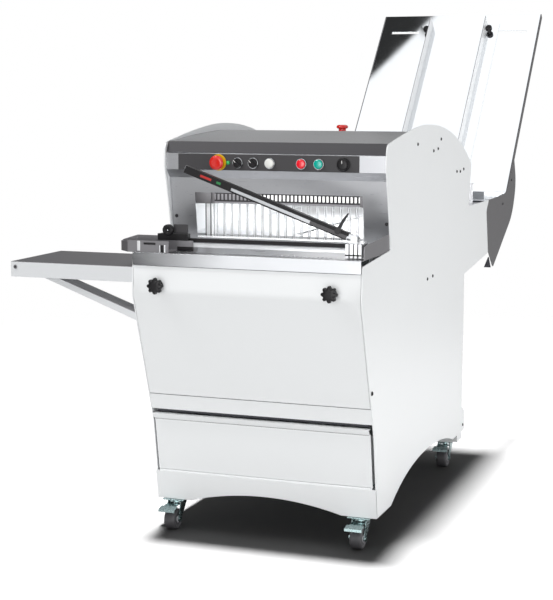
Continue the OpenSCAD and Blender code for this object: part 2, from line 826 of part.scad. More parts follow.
module motor() {
  bell = 16;
  cowl = 58;
  foot_t = 8;
  // Turned frame with an end bell, a finned middle of equal radius and a fan cowl
  profile = [
    [0, 0], [motor_r - 4, 0], [motor_r - 4, bell], [motor_r - 8, bell],
    [motor_r - 8, motor_len - cowl], [motor_r - 2, motor_len - cowl],
    [motor_r - 2, motor_len - 6], [motor_r - 8, motor_len], [0, motor_len]
  ];
  color("#4E6068") difference() {
    union() {
      translate([motor_left, motor_y, motor_z]) rotate([0, 90, 0]) rotate_extrude() polygon(profile);
      // Foot on the motor shelf
      box([motor_left + 30, motor_y - 56, motor_shelf_z], [motor_left + 150, motor_y + 56, motor_shelf_z + foot_t]);
      box([motor_left + 40, motor_y - 30, motor_shelf_z + foot_t - 1],
        [motor_left + 140, motor_y + 30, motor_z - motor_r + 22]);
    }
    translate([motor_left - 1, motor_y, motor_z]) rotate([0, 90, 0])
      cylinder(r = motor_shaft_r + fit_gap, h = 31);
  }
}

module motor_pulley() {
  color(zinc) translate([belt_x, motor_y, motor_z]) {
    pulley(driver_r, 22);
    rotate([0, 90, 0]) cylinder(r = motor_shaft_r, h = motor_left - belt_x + 28);
  }
}

// One closed outline round two pulleys, in the Y-Z plane
function belt_arc(c, r, a0, a1, n) =
  [for (i = [0 : n]) let (a = mix(a0, a1, i / n)) c + r * [cos(a), sin(a)]];
function belt_loop(add) =
  let (a = [frame_y, crank_z], b = [motor_y, motor_z], d = b - a,
    tilt = atan2(d[1], d[0]), spread = acos((driven_r - driver_r) / norm(d)))
  concat(belt_arc(a, driven_r + add, tilt + spread, tilt + 360 - spread, 30),
    belt_arc(b, driver_r + add, tilt - spread, tilt + spread, 14));

module drive_belt() {
  color(black) translate([belt_x - belt_w / 2, 0, 0]) rotate([90, 0, 90]) linear_extrude(belt_w)
    difference() {
      polygon(belt_loop(belt_in + belt_t));
      polygon(belt_loop(belt_in));
    }
}

bearing_a = 100;
bearing_t = 10;
boss_r = 34;
boss_h = 30;

module bearing_blocks() {
  color(zinc) both_sides() difference() {
    union() {
      box([half_in - bearing_t, frame_y - bearing_a / 2, crank_z - bearing_a / 2],
        [half_in, frame_y + bearing_a / 2, crank_z + bearing_a / 2]);
      translate([half_in - boss_h, frame_y, crank_z]) rotate([0, 90, 0]) cylinder(r = boss_r, h = boss_h);
    }
    translate([half_in - boss_h - 1, frame_y, crank_z]) rotate([0, 90, 0])
      cylinder(r = crank_shaft_r + fit_gap, h = boss_h + 2);
  }
}

module crankshaft() {
  ends = half_in - 8;
  color(steel) {
    translate([-ends, frame_y, crank_z]) rotate([0, 90, 0]) cylinder(r = crank_shaft_r, h = 2 * ends);
    for (s = [-1, 1]) translate([s * rod_x - 11, frame_y + s * stroke, crank_z]) rotate([0, 90, 0])
      cylinder(r = eccentric_r, h = 22);
    translate([belt_x, frame_y, crank_z]) pulley(driven_r, 30);
  }
}

// s is -1 for the front frame's rod and 1 for the rear frame's
module connecting_rod(s) {
  ring_r = eccentric_r + 12;
  eye_r = 15;
  shank_w = 18;
  color(zinc) translate([s * rod_x - rod_w / 2, frame_y + s * stroke, 0]) rotate([90, 0, 90]) {
    linear_extrude(rod_w) difference() {
      union() {
        translate([0, crank_z]) circle(r = ring_r);
        translate([0, eye_z]) circle(r = eye_r);
        translate([-shank_w / 2, crank_z]) square([shank_w, rod_len]);
      }
      translate([0, crank_z]) circle(r = eccentric_r + fit_gap);
    }
  }
}

module connecting_rod_front() {
  connecting_rod(-1);
}

module connecting_rod_rear() {
  connecting_rod(1);
}

// s is -1 for the front frame and 1 for the rear frame
module blade_frame(s) {
  y0 = s < 0 ? front_plane : rear_plane;
  ear_t = 5;
  ear_in = rod_w / 2 + run_gap;
  ear_low = eye_z - 30;
  light_w = 6;
  color(grey_coat) difference() {
    union() {
      both_sides() box([post_x, y0, post_low], [post_x + post_w, y0 + frame_t, post_top]);
      for (z = [holder_z, lower_holder_z])
        box([-post_x - 1, y0, z], [post_x + 1, y0 + frame_t, z + holder_h]);
      // Ears that straddle the head of the connecting rod
      for (e = [-1, 1]) translate([s * rod_x + e * (ear_in + ear_t / 2), 0, 0])
      {
        box([-ear_t / 2, y0, ear_low], [ear_t / 2, y0 + frame_t, lower_holder_z + 4]);
        box([-ear_t / 2, y0 - (s < 0 ? 12 : 0), ear_low],
          [ear_t / 2, y0 + frame_t + (s < 0 ? 0 : 12), lower_holder_z - 12]);
      }
    }
    // Comb of light openings above the blades
    for (i = [0 : blade_n - 2])
      box([(i - (blade_n - 2) / 2) * blade_pitch - light_w / 2, y0 - 1, holder_z + 9],
        [(i - (blade_n - 2) / 2) * blade_pitch + light_w / 2, y0 + frame_t + 1, holder_z + 24]);
  }
}

module blade_frame_front() {
  blade_frame(-1);
}

module blade_frame_rear() {
  blade_frame(1);
}

// Every second blade hangs in the front frame, the others in the rear frame
module blades(first, y0) {
  color(polished) for (i = [first : 2 : blade_n - 1])
    box([(i - (blade_n - 1) / 2) * blade_pitch - blade_t / 2, y0 + (frame_t - blade_d) / 2,
        lower_holder_z + holder_h],
      [(i - (blade_n - 1) / 2) * blade_pitch + blade_t / 2, y0 + (frame_t + blade_d) / 2, holder_z]);
}

module blades_front() {
  blades(0, front_plane);
}

module blades_rear() {
  blades(1, rear_plane);
}

guide_h_z = 70;

module frame_guides() {
  wrap = 9;
  reach = post_x + post_w - 10;
  color(zinc) both_sides() for (z = [post_low + 18, post_top - 18 - guide_h_z]) difference() {
    box([reach, front_plane - wrap, z], [half_in, rear_plane + frame_t + wrap, z + guide_h_z]);
    for (y0 = [front_plane, rear_plane])
      box([reach - 1, y0 - run_gap, z - 1],
        [post_x + post_w + run_gap, y0 + frame_t + run_gap, z + guide_h_z + 1]);
  }
}

module drawer_rails() {
  rail_h = 40;
  color(zinc) both_sides() {
    x1 = half_in;
    x0 = half_in - drawer_side - 18;
    z0 = drawer_z - run_gap - sheet_t;
    translate([x0, 30, 0]) rotate([90, 0, 90]) translate([0, 0, 0]) linear_extrude(x1 - x0)
      translate([0, z0]) square([drawer_depth, sheet_t]);
    box([half_in - sheet_t, 30, z0], [half_in, 30 + drawer_depth, z0 + rail_h]);
    box([x0, 30, beam_top + beam_wall], [half_in, 60, z0]);
    box([x0, drawer_depth, beam_top + beam_wall], [half_in, 30 + drawer_depth, z0]);
  }
}

module crumb_drawer() {
  hw = half_in - drawer_side;
  face_hw = half_in - drawer_face_gap;
  face_out = 4;
  lip_z = drawer_top - lip_h;
  wall_top = drawer_top - 26;
  lip_out = 9;
  y0 = front_y(lip_z) + 12;
  y1 = y0 + drawer_depth;
  color(white_coat) {
    // Face with a pull lip folded along its top edge
    span_sheet([
      [front_y(drawer_z) + 10, drawer_z], [front_y(drawer_z) - face_out, drawer_z],
      [front_y(lip_z) - face_out, lip_z], [front_y(lip_z) - face_out - lip_out, lip_z + 3],
      [front_y(drawer_top) - face_out - lip_out, drawer_top - 2],
      [front_y(drawer_top) + 6, drawer_top - 2]
    ], face_hw);
    // Open box behind the face
    difference() {
      plate_yz([
        [front_y(drawer_z) - face_out + sheet_t, drawer_z], [y1, drawer_z], [y1, wall_top],
        [front_y(lip_z) - face_out + sheet_t, wall_top], [front_y(lip_z) - face_out + sheet_t, lip_z - 10]
      ], -hw, 2 * hw);
      plate_yz([
        [front_y(drawer_z) + 8, drawer_z + sheet_t], [y1 - sheet_t, drawer_z + sheet_t],
        [y1 - sheet_t, wall_top + 1], [front_y(lip_z) + 2, wall_top + 1]
      ], -hw + sheet_t, 2 * (hw - sheet_t));
    }
  }
}

module front_door() {
  hw = half_in - door_gap / 2;
  path = [
    [front_y(door_low) + 14, door_low], [front_y(door_low), door_low],
    [front_y(knee_z), knee_z], [front_y(door_top), door_top], [front_y(door_top) + 14, door_top]
  ];
  color(white_coat) difference() {
    union() {
      span_sheet(path, hw);
      // Side flanges folded back, which carry the pivot holes
      both_sides() plate_yz([
        path[1], path[2], path[3], path[3] + [door_flange, 0],
        path[2] + [door_flange, 0], path[1] + [door_flange, 0]
      ], hw - sheet_t, sheet_t);
    }
    for (sx = [-1, 1]) {
      translate([sx * hw - 20, pivot_y, pivot_z]) rotate([0, 90, 0]) cylinder(r = pin_r + fit_gap, h = 40);
      facing_front(sx * knob_x, front_y(knob_z) + 20, knob_z) cylinder(r = stud_r + run_gap, h = 40);
    }
  }
}

module door_knob(sx) {
  lobes = 7;
  skirt_h = 16;
  head_h = 15;
  lobe_r = 6;
  seat_y = front_y(knob_z) - run_gap - 0.9;
  color(black) facing_front(sx * knob_x, seat_y, knob_z) {
    cylinder(r = 11, h = skirt_h + 1);
    translate([0, 0, skirt_h]) {
      cylinder(r = star_r - lobe_r, h = head_h);
      for (i = [0 : lobes - 1]) rotate([0, 0, i * 360 / lobes])
        translate([star_r - lobe_r, 0, 0]) cylinder(r = lobe_r, h = head_h - 2, $fn = 32);
      cylinder(r = 9, h = head_h + 2);
    }
    translate([0, 0, -18]) cylinder(r = stud_r, h = 20);
  }
}

module door_knob_left() {
  door_knob(-1);
}

module door_knob_right() {
  door_knob(1);
}

module loaf_pusher() {
  plate_hw = window_w / 2 - 27.5;
  plate_h = 70;
  lift = 2;
  color(polished) difference() {
    union() {
      // Pushing plate with a folded top edge
      plate_yz(folded([
        [pusher_y + 14, table_z + plate_h], [pusher_y, table_z + plate_h], [pusher_y, table_z + lift]
      ], -sheet_t), -plate_hw, 2 * plate_hw);
      box([-slot_w / 2 + 1, pusher_y + sheet_t - 1, guide_rod_z], [slot_w / 2 - 1, pusher_y + 20, table_z + 24]);
      // Carriage on the guide rod
      box([-22, pusher_y - 20, guide_rod_z - 18], [22, pusher_y - 20 + carriage_l, guide_rod_z + 18]);
    }
    translate([0, pusher_y - 60, guide_rod_z]) rotate([-90, 0, 0])
      cylinder(r = guide_rod_r + fit_gap, h = 200);
  }
}

module chute_guide(sx) {
  lie = 0.3;
  inner = guide_x;
  outer = guide_x + guide_base_w;
  s1 = chute_len - guide_top_margin;
  color(polished) on_chute() {
    mirror([sx < 0 ? 1 : 0, 0, 0]) {
      box([inner, guide_start, lie], [outer, s1, lie + sheet_t]);
      box([inner, guide_start, lie + sheet_t], [inner + sheet_t, s1, lie + guide_h]);
      // Clamping stud with its washer behind the plate
      translate([guide_stud_x, guide_s, 0]) {
        translate([0, 0, -10]) cylinder(r = guide_stud_r, h = 34);
        translate([0, 0, -sheet_t - lie - 4]) cylinder(r = 11, h = 4);
      }
    }
  }
}

module chute_guide_left() {
  chute_guide(-1);
}

module chute_guide_right() {
  chute_guide(1);
}

module guide_knob(sx) {
  seat = 0.3 + sheet_t + 0.3;
  color(black) on_chute() translate([sx * guide_stud_x, guide_s, seat]) difference() {
    union() {
      cylinder(r = 8, h = 8);
      translate([0, 0, 8]) rotate_extrude()
        polygon([[0, 0], [9, 0], [12, 3], [12, 14], [10, 17], [0, 17]]);
    }
    translate([0, 0, -1]) cylinder(r = guide_stud_r + fit_gap, h = 24);
  }
}

module guide_knob_left() {
  guide_knob(-1);
}

module guide_knob_right() {
  guide_knob(1);
}

// A stop button: a mushroom on a stem that runs in its panel hole
module mushroom(r, rise) {
  rotate_extrude() polygon([
    [0, -20], [hole_r - run_gap, -20], [hole_r - run_gap, rise], [r - 3, rise], [r, rise + 3],
    [r, rise + 5], [r - 3, rise + 9], [r - 8, rise + 11], [0, rise + 11.5]
  ]);
}

module emergency_stop_front() {
  color("#E2261C") facing_front(stop_x, console_y - console_t, control_z) mushroom(mushroom_r, 12);
}

module emergency_stop_rear() {
  color("#E2261C") translate([0, rear_stop_y, rear_stop_z]) mushroom(rear_mushroom_r, collar_h + 8);
}

module push_button(x) {
  facing_front(x, console_y - console_t, control_z) rotate_extrude() polygon([
    [0, -18], [hole_r - run_gap, -18], [hole_r - run_gap, 5], [cap_r, 5], [cap_r, 8],
    [cap_r - 1.5, 9.6], [cap_r - 5, 10.8], [0, 11.2]
  ]);
}

module white_button() {
  color("#E4E4E0") push_button(white_x);
}

module red_button() {
  color("#E3172A") push_button(red_x);
}

module green_button() {
  color("#00A79A") push_button(green_x);
}

module selector(x) {
  color(black) facing_front(x, console_y - console_t, control_z) {
    rotate_extrude() polygon([
      [0, -18], [hole_r - run_gap, -18], [hole_r - run_gap, 3], [cap_r, 3], [cap_r, 6], [cap_r - 1.5, 7.5], [0, 7.5]
    ]);
    rotate([0, 0, 45]) intersection() {
      translate([-3.2, -cap_r, 6]) cube([6.4, 2 * cap_r, 10]);
      cylinder(r = cap_r - 0.6, h = 20);
    }
  }
}

module selector_left() {
  selector(select_a_x);
}

module selector_right() {
  selector(select_b_x);
}

module speed_knob() {
  color(black) facing_front(speed_x, console_y - console_t, control_z) {
    translate([0, 0, -16]) cylinder(r = 5, h = 18);
    translate([0, 0, run_gap]) rotate_extrude() polygon([
      [0, 0], [speed_r, 0], [speed_r, 3], [speed_r - 2.5, 5], [speed_r - 3.5, 15], [speed_r - 5.5, 17], [0, 17]
    ]);
    // Raised pointer
    translate([-1, 2, 17]) cube([2, speed_r - 8, 1.2]);
  }
}

// The press arm is drawn level, pointing to the left from its pivot, and then raised
module on_press() {
  translate([press_x, rail_y, press_z]) rotate([0, press_angle, 0]) children();
}

lever_u = 46;
// Lower and upper face of the bar, from the pivot's height
press_low = -12;
press_top = press_low + press_h;

module press_arm() {
  eye_r = 8;
  clear_pin_r = 4;
  recess = 2;
  color(steel) on_press() difference() {
    union() {
      rotate([-90, 0, 0]) translate([0, 0, -press_w / 2]) cylinder(r = eye_r, h = press_w);
      box([-20, -press_w / 2, -6], [0, press_w / 2, 6]);
      box([-press_len, -press_w / 2, press_low], [-18, press_w / 2, press_top]);
    }
    rotate([-90, 0, 0]) translate([0, 0, -press_w]) cylinder(r = clear_pin_r + fit_gap, h = 2 * press_w);
    // Shallow channel along the front face
    box([-press_len + 20, -press_w / 2 - 1, press_low + 2],
      [-168, -press_w / 2 + recess, press_low + 0.55 * press_h]);
    // Slanted free end
    translate([-press_len, -press_w, press_low]) rotate([0, -35, 0]) translate([-40, 0, 0])
      cube([40, 2 * press_w, 60]);
    translate([-lever_u, -press_w, 2]) rotate([-90, 0, 0]) cylinder(r = 3 + fit_gap, h = press_w);
  }
}

module arm_lever() {
  lever_t = 6;
  color(black) on_press() translate([-lever_u, -press_w / 2 - 0.3, 2]) {
    rotate([90, 0, 0]) cylinder(r = 8, h = lever_t);
    rotate([-90, 0, 0]) cylinder(r = 3, h = 6);
    rotate([90, 0, 0]) linear_extrude(lever_t) polygon([[-4.5, 4], [4.5, 4], [8, 28], [12, 51], [9, 51], [2, 32]]);
  }
}

module packing_comb() {
  fin_low = tray_z + 2;
  fin_top = rail_top + 4;
  ear_t = 5;
  clear_pin_r = 4;
  guide = rail_a / 2 + run_gap;
  y0 = rail_y - comb_d / 2;
  y1 = rail_y + comb_d / 2;
  color(steel) {
    difference() {
      union() {
        box([comb_x, y0, rail_z - rail_a / 2 - 5], [comb_x + comb_w - 8, y1, rail_top + 5]);
        // Fins that stand over the tray in front of the carriage
        for (i = [0 : fin_n - 1])
          box([comb_x + 1 + i * blade_pitch, y0 - 34, fin_low], [comb_x + 1 + i * blade_pitch + fin_t, y0 + 1, fin_top]);
        box([comb_x, y0 - 6, rail_z - 2], [comb_x + 3 * blade_pitch + 2, y0 + 1, rail_z + 6]);
        // Ears for the arm's pivot pin
        for (e = [-1, 1]) translate([press_x, rail_y + e * (press_w / 2 + run_gap + ear_t / 2), 0]) {
          box([-8, -ear_t / 2, rail_top], [8, ear_t / 2, press_z]);
          translate([0, ear_t / 2, press_z]) rotate([90, 0, 0]) cylinder(r = 8, h = ear_t);
        }
        translate([press_x, rail_y + press_w / 2 + 3, press_z]) rotate([90, 0, 0])
          cylinder(r = clear_pin_r, h = press_w + 6);
      }
      box([comb_x - 1, rail_y - guide, rail_z - guide], [comb_x + comb_w + 1, rail_y + guide, rail_z + guide]);
    }
  }
}

// Castors: drawn with the swivel axis at the origin, then moved to a corner
module at_castor(sx, y) {
  translate([sx * castor_x, y, 0]) children();
}

fork_in = wheel_w / 2 + 1.2;
fork_t = 2.5;
axle_r = 4;
fork_top = castor_h - castor_plate_t - 0.4;
pedal_y = -14;
pedal_z = wheel_r * 2 + 8;

module castor_fork(sx, y) {
  crown_r = 23;
  crown_h = 6;
  leg = rounded([
    [-castor_trail - 9, wheel_r - 4, 6], [-castor_trail + 4, wheel_r - 9, 6],
    [20, fork_top - crown_h, 4], [18, fork_top, 0], [-18, fork_top, 0], [-24, fork_top - 12, 4]
  ]);
  color(zinc) at_castor(sx, y) {
    difference() {
      union() {
        translate([0, 0, fork_top - crown_h]) cylinder(r = crown_r, h = crown_h);
        both_sides() plate_yz(leg, fork_in, fork_t);
        box([-fork_in - fork_t, -18, fork_top - 3], [fork_in + fork_t, 18, fork_top]);
      }
      translate([0, 0, 0]) cylinder(r = kingpin_r + fit_gap, h = castor_h);
      // Clearance for the pedal's pivot
      translate([-60, pedal_y, pedal_z]) rotate([0, 90, 0]) cylinder(r = 2 + fit_gap, h = 120);
    }
    // Axle with its heads
    translate([-fork_in - fork_t - 3, -castor_trail, wheel_r]) rotate([0, 90, 0]) {
      cylinder(r = axle_r, h = 2 * (fork_in + fork_t + 3));
      cylinder(r = 7, h = 3);
      translate([0, 0, 2 * (fork_in + fork_t) + 3]) cylinder(r = 7, h = 3);
    }
  }
}

module castor_wheel(sx, y) {
  shoulder = 4;
  half_w = wheel_w / 2;
  color("#58575A") at_castor(sx, y) translate([0, -castor_trail, wheel_r]) rotate([0, 90, 0])
    rotate_extrude() polygon([
      [axle_r + fit_gap, -half_w - 0.6], [10, -half_w - 0.6], [11, -half_w + 2], [wheel_r - 9, -half_w + 2],
      [wheel_r - 7, -half_w], [wheel_r - shoulder, -half_w], [wheel_r, -half_w + shoulder],
      [wheel_r, half_w - shoulder], [wheel_r - shoulder, half_w], [wheel_r - 7, half_w],
      [wheel_r - 9, half_w - 2], [11, half_w - 2], [10, half_w + 0.6], [axle_r + fit_gap, half_w + 0.6]
    ]);
}

module brake_pedal(sx, y) {
  pedal_w = 2 * fork_in - 1;
  tread_w = 46;
  tread_y = -castor_trail - 24;
  color(zinc) at_castor(sx, y) {
    translate([-fork_in - fork_t, pedal_y, pedal_z]) rotate([0, 90, 0]) cylinder(r = 2, h = 2 * (fork_in + fork_t));
    plate_yz(folded([
      [pedal_y + 4, pedal_z + 1], [-castor_trail, pedal_z + 2], [tread_y, pedal_z + 1], [tread_y - 18, pedal_z - 3]
    ], 2.2), -pedal_w / 2, pedal_w);
    plate_yz(folded([[tread_y + 2, pedal_z + 1], [tread_y - 18, pedal_z - 3], [tread_y - 19, pedal_z - 8]], 2.2),
      -tread_w / 2, tread_w);
  }
}

module castor_fork_front_left() { castor_fork(-1, castor_front_y); }
module castor_fork_front_right() { castor_fork(1, castor_front_y); }
module castor_fork_rear_left() { castor_fork(-1, castor_rear_y); }
module castor_fork_rear_right() { castor_fork(1, castor_rear_y); }
module castor_wheel_front_left() { castor_wheel(-1, castor_front_y); }
module castor_wheel_front_right() { castor_wheel(1, castor_front_y); }
module castor_wheel_rear_left() { castor_wheel(-1, castor_rear_y); }
module castor_wheel_rear_right() { castor_wheel(1, castor_rear_y); }
module brake_pedal_front_left() { brake_pedal(-1, castor_front_y); }
module brake_pedal_front_right() { brake_pedal(1, castor_front_y); }
module brake_pedal_rear_left() { brake_pedal(-1, castor_rear_y); }
module brake_pedal_rear_right() { brake_pedal(1, castor_rear_y); }

placed() side_panel_left();
placed() side_panel_right();
placed() front_panels();
placed() base_frame();
placed() outfeed_tray();
placed() head_front();
placed() control_panel();
placed() top_cover();
placed() rear_cover();
placed() infeed_table();
placed() chute_plate();
placed() chute_cheeks();
placed() side_table();
placed() bag_scoop();
placed() stop_rail();
placed() motor();
placed() drive_belt();
placed() bearing_blocks();
placed() frame_guides();
placed() drawer_rails();
placed() front_door();
placed() door_knob_left();
placed() door_knob_right();
placed() crumb_drawer();
placed() blade_frame_front();
placed() blade_frame_rear();
placed() blades_front();
placed() blades_rear();
placed() crankshaft();
placed() motor_pulley();
placed() connecting_rod_front();
placed() connecting_rod_rear();
placed() loaf_pusher();
placed() chute_guide_left();
placed() chute_guide_right();
placed() guide_knob_left();
placed() guide_knob_right();
placed() emergency_stop_front();
placed() emergency_stop_rear();
placed() white_button();
placed() red_button();
placed() green_button();
placed() selector_left();
placed() selector_right();
placed() speed_knob();
placed() press_arm();
placed() arm_lever();
placed() packing_comb();
placed() castor_fork_front_left();
placed() castor_fork_front_right();
placed() castor_fork_rear_left();
placed() castor_fork_rear_right();
placed() castor_wheel_front_left();
placed() castor_wheel_front_right();
placed() castor_wheel_rear_left();
placed() castor_wheel_rear_right();
placed() brake_pedal_front_left();
placed() brake_pedal_front_right();
placed() brake_pedal_rear_left();
placed() brake_pedal_rear_right();
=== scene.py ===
"""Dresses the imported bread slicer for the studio.

Sizes in the classes are millimetres in the machine's own frame: X from the mid-plane to the
operator's right, Y to the rear from the plinth, Z up from the floor. at() turns such a point
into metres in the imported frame, whose origin lies under the middle of the machine.
"""
from __future__ import annotations

import json
import logging
import math
from contextlib import contextmanager
from dataclasses import dataclass, field
from enum import Enum
from typing import Any, Callable, Iterator, Sequence

import bpy
from mathutils import Matrix, Vector

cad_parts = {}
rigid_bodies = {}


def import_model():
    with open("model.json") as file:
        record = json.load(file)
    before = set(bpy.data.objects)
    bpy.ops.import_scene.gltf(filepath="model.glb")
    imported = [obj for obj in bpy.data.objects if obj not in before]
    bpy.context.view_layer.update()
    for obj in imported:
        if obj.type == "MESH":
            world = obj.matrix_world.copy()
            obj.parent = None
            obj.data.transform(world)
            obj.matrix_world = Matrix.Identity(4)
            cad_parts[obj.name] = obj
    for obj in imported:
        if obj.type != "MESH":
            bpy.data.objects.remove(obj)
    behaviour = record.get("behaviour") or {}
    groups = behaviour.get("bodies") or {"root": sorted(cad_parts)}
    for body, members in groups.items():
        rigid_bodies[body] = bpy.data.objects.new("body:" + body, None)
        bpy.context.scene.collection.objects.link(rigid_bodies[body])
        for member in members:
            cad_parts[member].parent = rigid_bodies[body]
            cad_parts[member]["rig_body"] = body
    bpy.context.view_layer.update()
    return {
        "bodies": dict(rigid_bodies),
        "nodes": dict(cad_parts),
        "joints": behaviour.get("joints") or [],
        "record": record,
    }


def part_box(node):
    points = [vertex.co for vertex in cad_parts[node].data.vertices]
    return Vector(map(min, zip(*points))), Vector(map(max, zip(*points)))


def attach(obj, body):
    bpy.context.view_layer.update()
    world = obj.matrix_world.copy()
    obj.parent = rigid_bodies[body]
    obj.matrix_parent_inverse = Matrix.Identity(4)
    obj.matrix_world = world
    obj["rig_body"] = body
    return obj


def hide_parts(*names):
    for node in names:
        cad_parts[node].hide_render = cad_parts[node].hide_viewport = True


log = logging.getLogger("bread_slicer")

MM = 0.001
MID_X, MID_Y = -176.5, 992.46
# A face looks in a direction if its normal's share of that direction is more than this
LOOKS, LOOKS_MOSTLY = 0.5, 0.7
# Points nearer than this many metres are one, and faces within this many degrees are one flat face
WELD, FLAT = 2e-6, 0.4
# Faces that meet at fewer degrees than this are shaded as one, on rounded and on turned pieces
SMOOTH_ROUNDED, SMOOTH_TURNED = 50, 32
Point = tuple[float, float, float]
# Says whether a face belongs to a finish, from its middle in mm and its normal
FaceRule = Callable[[Vector, Vector], bool]


class Axis(Enum):
    """Where the local +Z of a turned piece points."""

    UP = (0.0, 0.0, 0.0)
    FRONT = (math.pi / 2, 0.0, 0.0)
    RIGHT = (0.0, math.pi / 2, 0.0)
    LEFT = (0.0, -math.pi / 2, 0.0)


class Along(Enum):
    """Direction in which a tone of the studio changes."""

    X = "X"
    Y = "Y"
    Z = "Z"
    CORNER = "corner"


class Ease(Enum):
    """How one tone of the studio goes over into the next."""

    STRAIGHT = "LINEAR"
    SOFT = "SMOOTHSTEP"


def at(x: float, y: float, z: float) -> Vector:
    """Gives a machine-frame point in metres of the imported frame."""
    return Vector((x - MID_X, y - MID_Y, z)) * MM


def linear(hex_colour: str) -> tuple[float, float, float, float]:
    """Turns an sRGB hex colour into linear RGBA.

    Args:
        hex_colour: six hex digits after a hash.

    Returns:
        The linear colour with full alpha.
    """
    raw = [int(hex_colour[i:i + 2], 16) / 255 for i in (1, 3, 5)]
    red, green, blue = (c / 12.92 if c <= 0.04045 else ((c + 0.055) / 1.055) ** 2.4 for c in raw)
    return (red, green, blue, 1.0)


def add_node(tree: bpy.types.NodeTree, kind: str, settings: dict[Any, Any] | None = None,
             links: dict[Any, Any] | None = None) -> bpy.types.Node:
    """Adds a shader node with its settings and links.

    Args:
        tree: node tree that gets the node.
        kind: node type identifier.
        settings: input sockets or node properties and their values.
        links: input sockets and the output sockets that feed them.

    Returns:
        The new node.
    """
    node = tree.nodes.new(kind)
    for key, value in (settings or {}).items():
        if isinstance(key, int) or key in node.inputs:
            node.inputs[key].default_value = value
        else:
            setattr(node, key, value)
    for socket, source in (links or {}).items():
        tree.links.new(source, node.inputs[socket])
    return node


@dataclass(frozen=True)
class Finish:
    """A surface finish: what the material is and how its surface was made."""

    name: str
    colour: str
    roughness: float
    metallic: float = 0.0
    grain_mm: float = 1.5
    stretch: Point = (1.0, 1.0, 1.0)
    bump: float = 0.05
    bump_mm: float = 0.05
    spread: float = 0.05
    mottle: float = 0.02
    mottle_mm: float = 120.0
    coat: float = 0.0
    coat_roughness: float = 0.08
    anisotropic: float = 0.0
    glow: float = 0.0
    gloss: float = 0.5
    detail: float = 3.0

    def material(self) -> bpy.types.Material:
        """Builds the finish as a node material, once.

        Returns:
            The material.
        """
        found = bpy.data.materials.get(self.name)
        if found:
            return found
        made = bpy.data.materials.new(self.name)
        made.use_nodes = True
        tree = made.node_tree
        tree.nodes.clear()
        place = add_node(tree, "ShaderNodeTexCoord").outputs["Object"]
        stretched = add_node(tree, "ShaderNodeMapping", {"Scale": self.stretch}, {"Vector": place})
        fine = add_node(tree, "ShaderNodeTexNoise", {
            "Scale": 1 / (self.grain_mm * MM), "Detail": self.detail, "Roughness": 0.6,
        }, {"Vector": stretched.outputs[0]}).outputs[0]
        broad = add_node(tree, "ShaderNodeTexNoise", {
            "Scale": 1 / (self.mottle_mm * MM), "Detail": 2.0,
        }, {"Vector": place}).outputs[0]
        base = linear(self.colour)
        darker = tuple(c * (1 - self.mottle) for c in base[:3]) + (1.0,)
        lighter = tuple(min(1.0, c * (1 + self.mottle)) for c in base[:3]) + (1.0,)
        # Sockets 6 and 7 are the two colours of a mix
        colour = add_node(tree, "ShaderNodeMix", {"data_type": "RGBA", 6: darker, 7: lighter}, {0: broad})
        # The noise lies mostly between these two values
        rough = add_node(tree, "ShaderNodeMapRange", {
            "From Min": 0.3, "From Max": 0.7,
            "To Min": max(0.01, self.roughness - self.spread), "To Max": self.roughness + self.spread,
        }, {"Value": fine})
        bump = add_node(tree, "ShaderNodeBump", {
            "Strength": self.bump, "Distance": self.bump_mm * MM,
        }, {"Height": fine})
        shader = add_node(tree, "ShaderNodeBsdfPrincipled", {
            "Metallic": self.metallic, "Coat Weight": self.coat, "Coat Roughness": self.coat_roughness,
            "Anisotropic": self.anisotropic, "Emission Strength": self.glow,
            "Specular IOR Level": self.gloss, "Emission Color": base,
        }, {
            "Base Color": colour.outputs[2], "Roughness": rough.outputs[0], "Normal": bump.outputs[0],
        })
        add_node(tree, "ShaderNodeOutputMaterial", {}, {"Surface": shader.outputs[0]})
        return made


# Powder coat on sheet steel, baked: an even white with the faint orange peel of the spray
WHITE_COAT = Finish("white_powder_coat", "#E9EBEC", 0.36, grain_mm=2.2, bump=0.05, bump_mm=0.06,
                    spread=0.04, mottle=0.012, mottle_mm=260)
# Stainless sheet brushed across the machine: faint streaks along X, drawn about 1 mm coarse to show
BRUSHED_ACROSS = Finish("brushed_stainless_across", "#9FA0A3", 0.3, 1.0, grain_mm=0.9,
                        stretch=(0.02, 1.0, 1.0), bump=0.02, bump_mm=0.03, spread=0.03, mottle=0.02,
                        anisotropic=0.3)
# Bright rolled stainless of the tray's apron: a blurred mirror with a few rub marks
BRIGHT_ROLLED = Finish("bright_rolled_stainless", "#D3D5D8", 0.1, 1.0, grain_mm=24,
                       stretch=(0.2, 1.0, 1.0), bump=0.01, spread=0.03, mottle=0.02, mottle_mm=200)
# Rolled stainless of the tray's front floor: grey, darker than the bed behind it
TRAY_FLOOR = Finish("rolled_tray_floor", "#77777B", 0.3, 0.9, grain_mm=20, stretch=(0.2, 1.0, 1.0),
                    bump=0.01, spread=0.03, mottle=0.03, mottle_mm=150)
# Rolled stainless of the scoop, the tray's end plate and small trim: dull and darker. The same grey is painted
# shade on the left part of the blade holder's liner and under its sill
DULL_STEEL = Finish("dull_rolled_stainless", "#7C7B7E", 0.4, 0.55, grain_mm=1.2, stretch=(0.1, 1.0, 1.0),
                    bump=0.03, spread=0.05, mottle=0.04, mottle_mm=70)
# Powder coat of the side table: the body's white, painted a shade greyer as shade over the whole table
SHADED_TABLE_COAT = Finish("table_coat_painted_shade", "#D6D8DA", 0.38, grain_mm=2.2, bump=0.05, bump_mm=0.06,
                    spread=0.04, mottle=0.012, mottle_mm=260)
# Painted shade: a grey for the white coat on the side table's upper faces and on the line under the drawer's
# lip; even, with a soft sheen
PAINTED_SHADE_GREY = Finish("painted_shade_grey", "#6C6B6E", 0.38, grain_mm=1.6, bump=0.04, spread=0.04,
                    mottle=0.02)
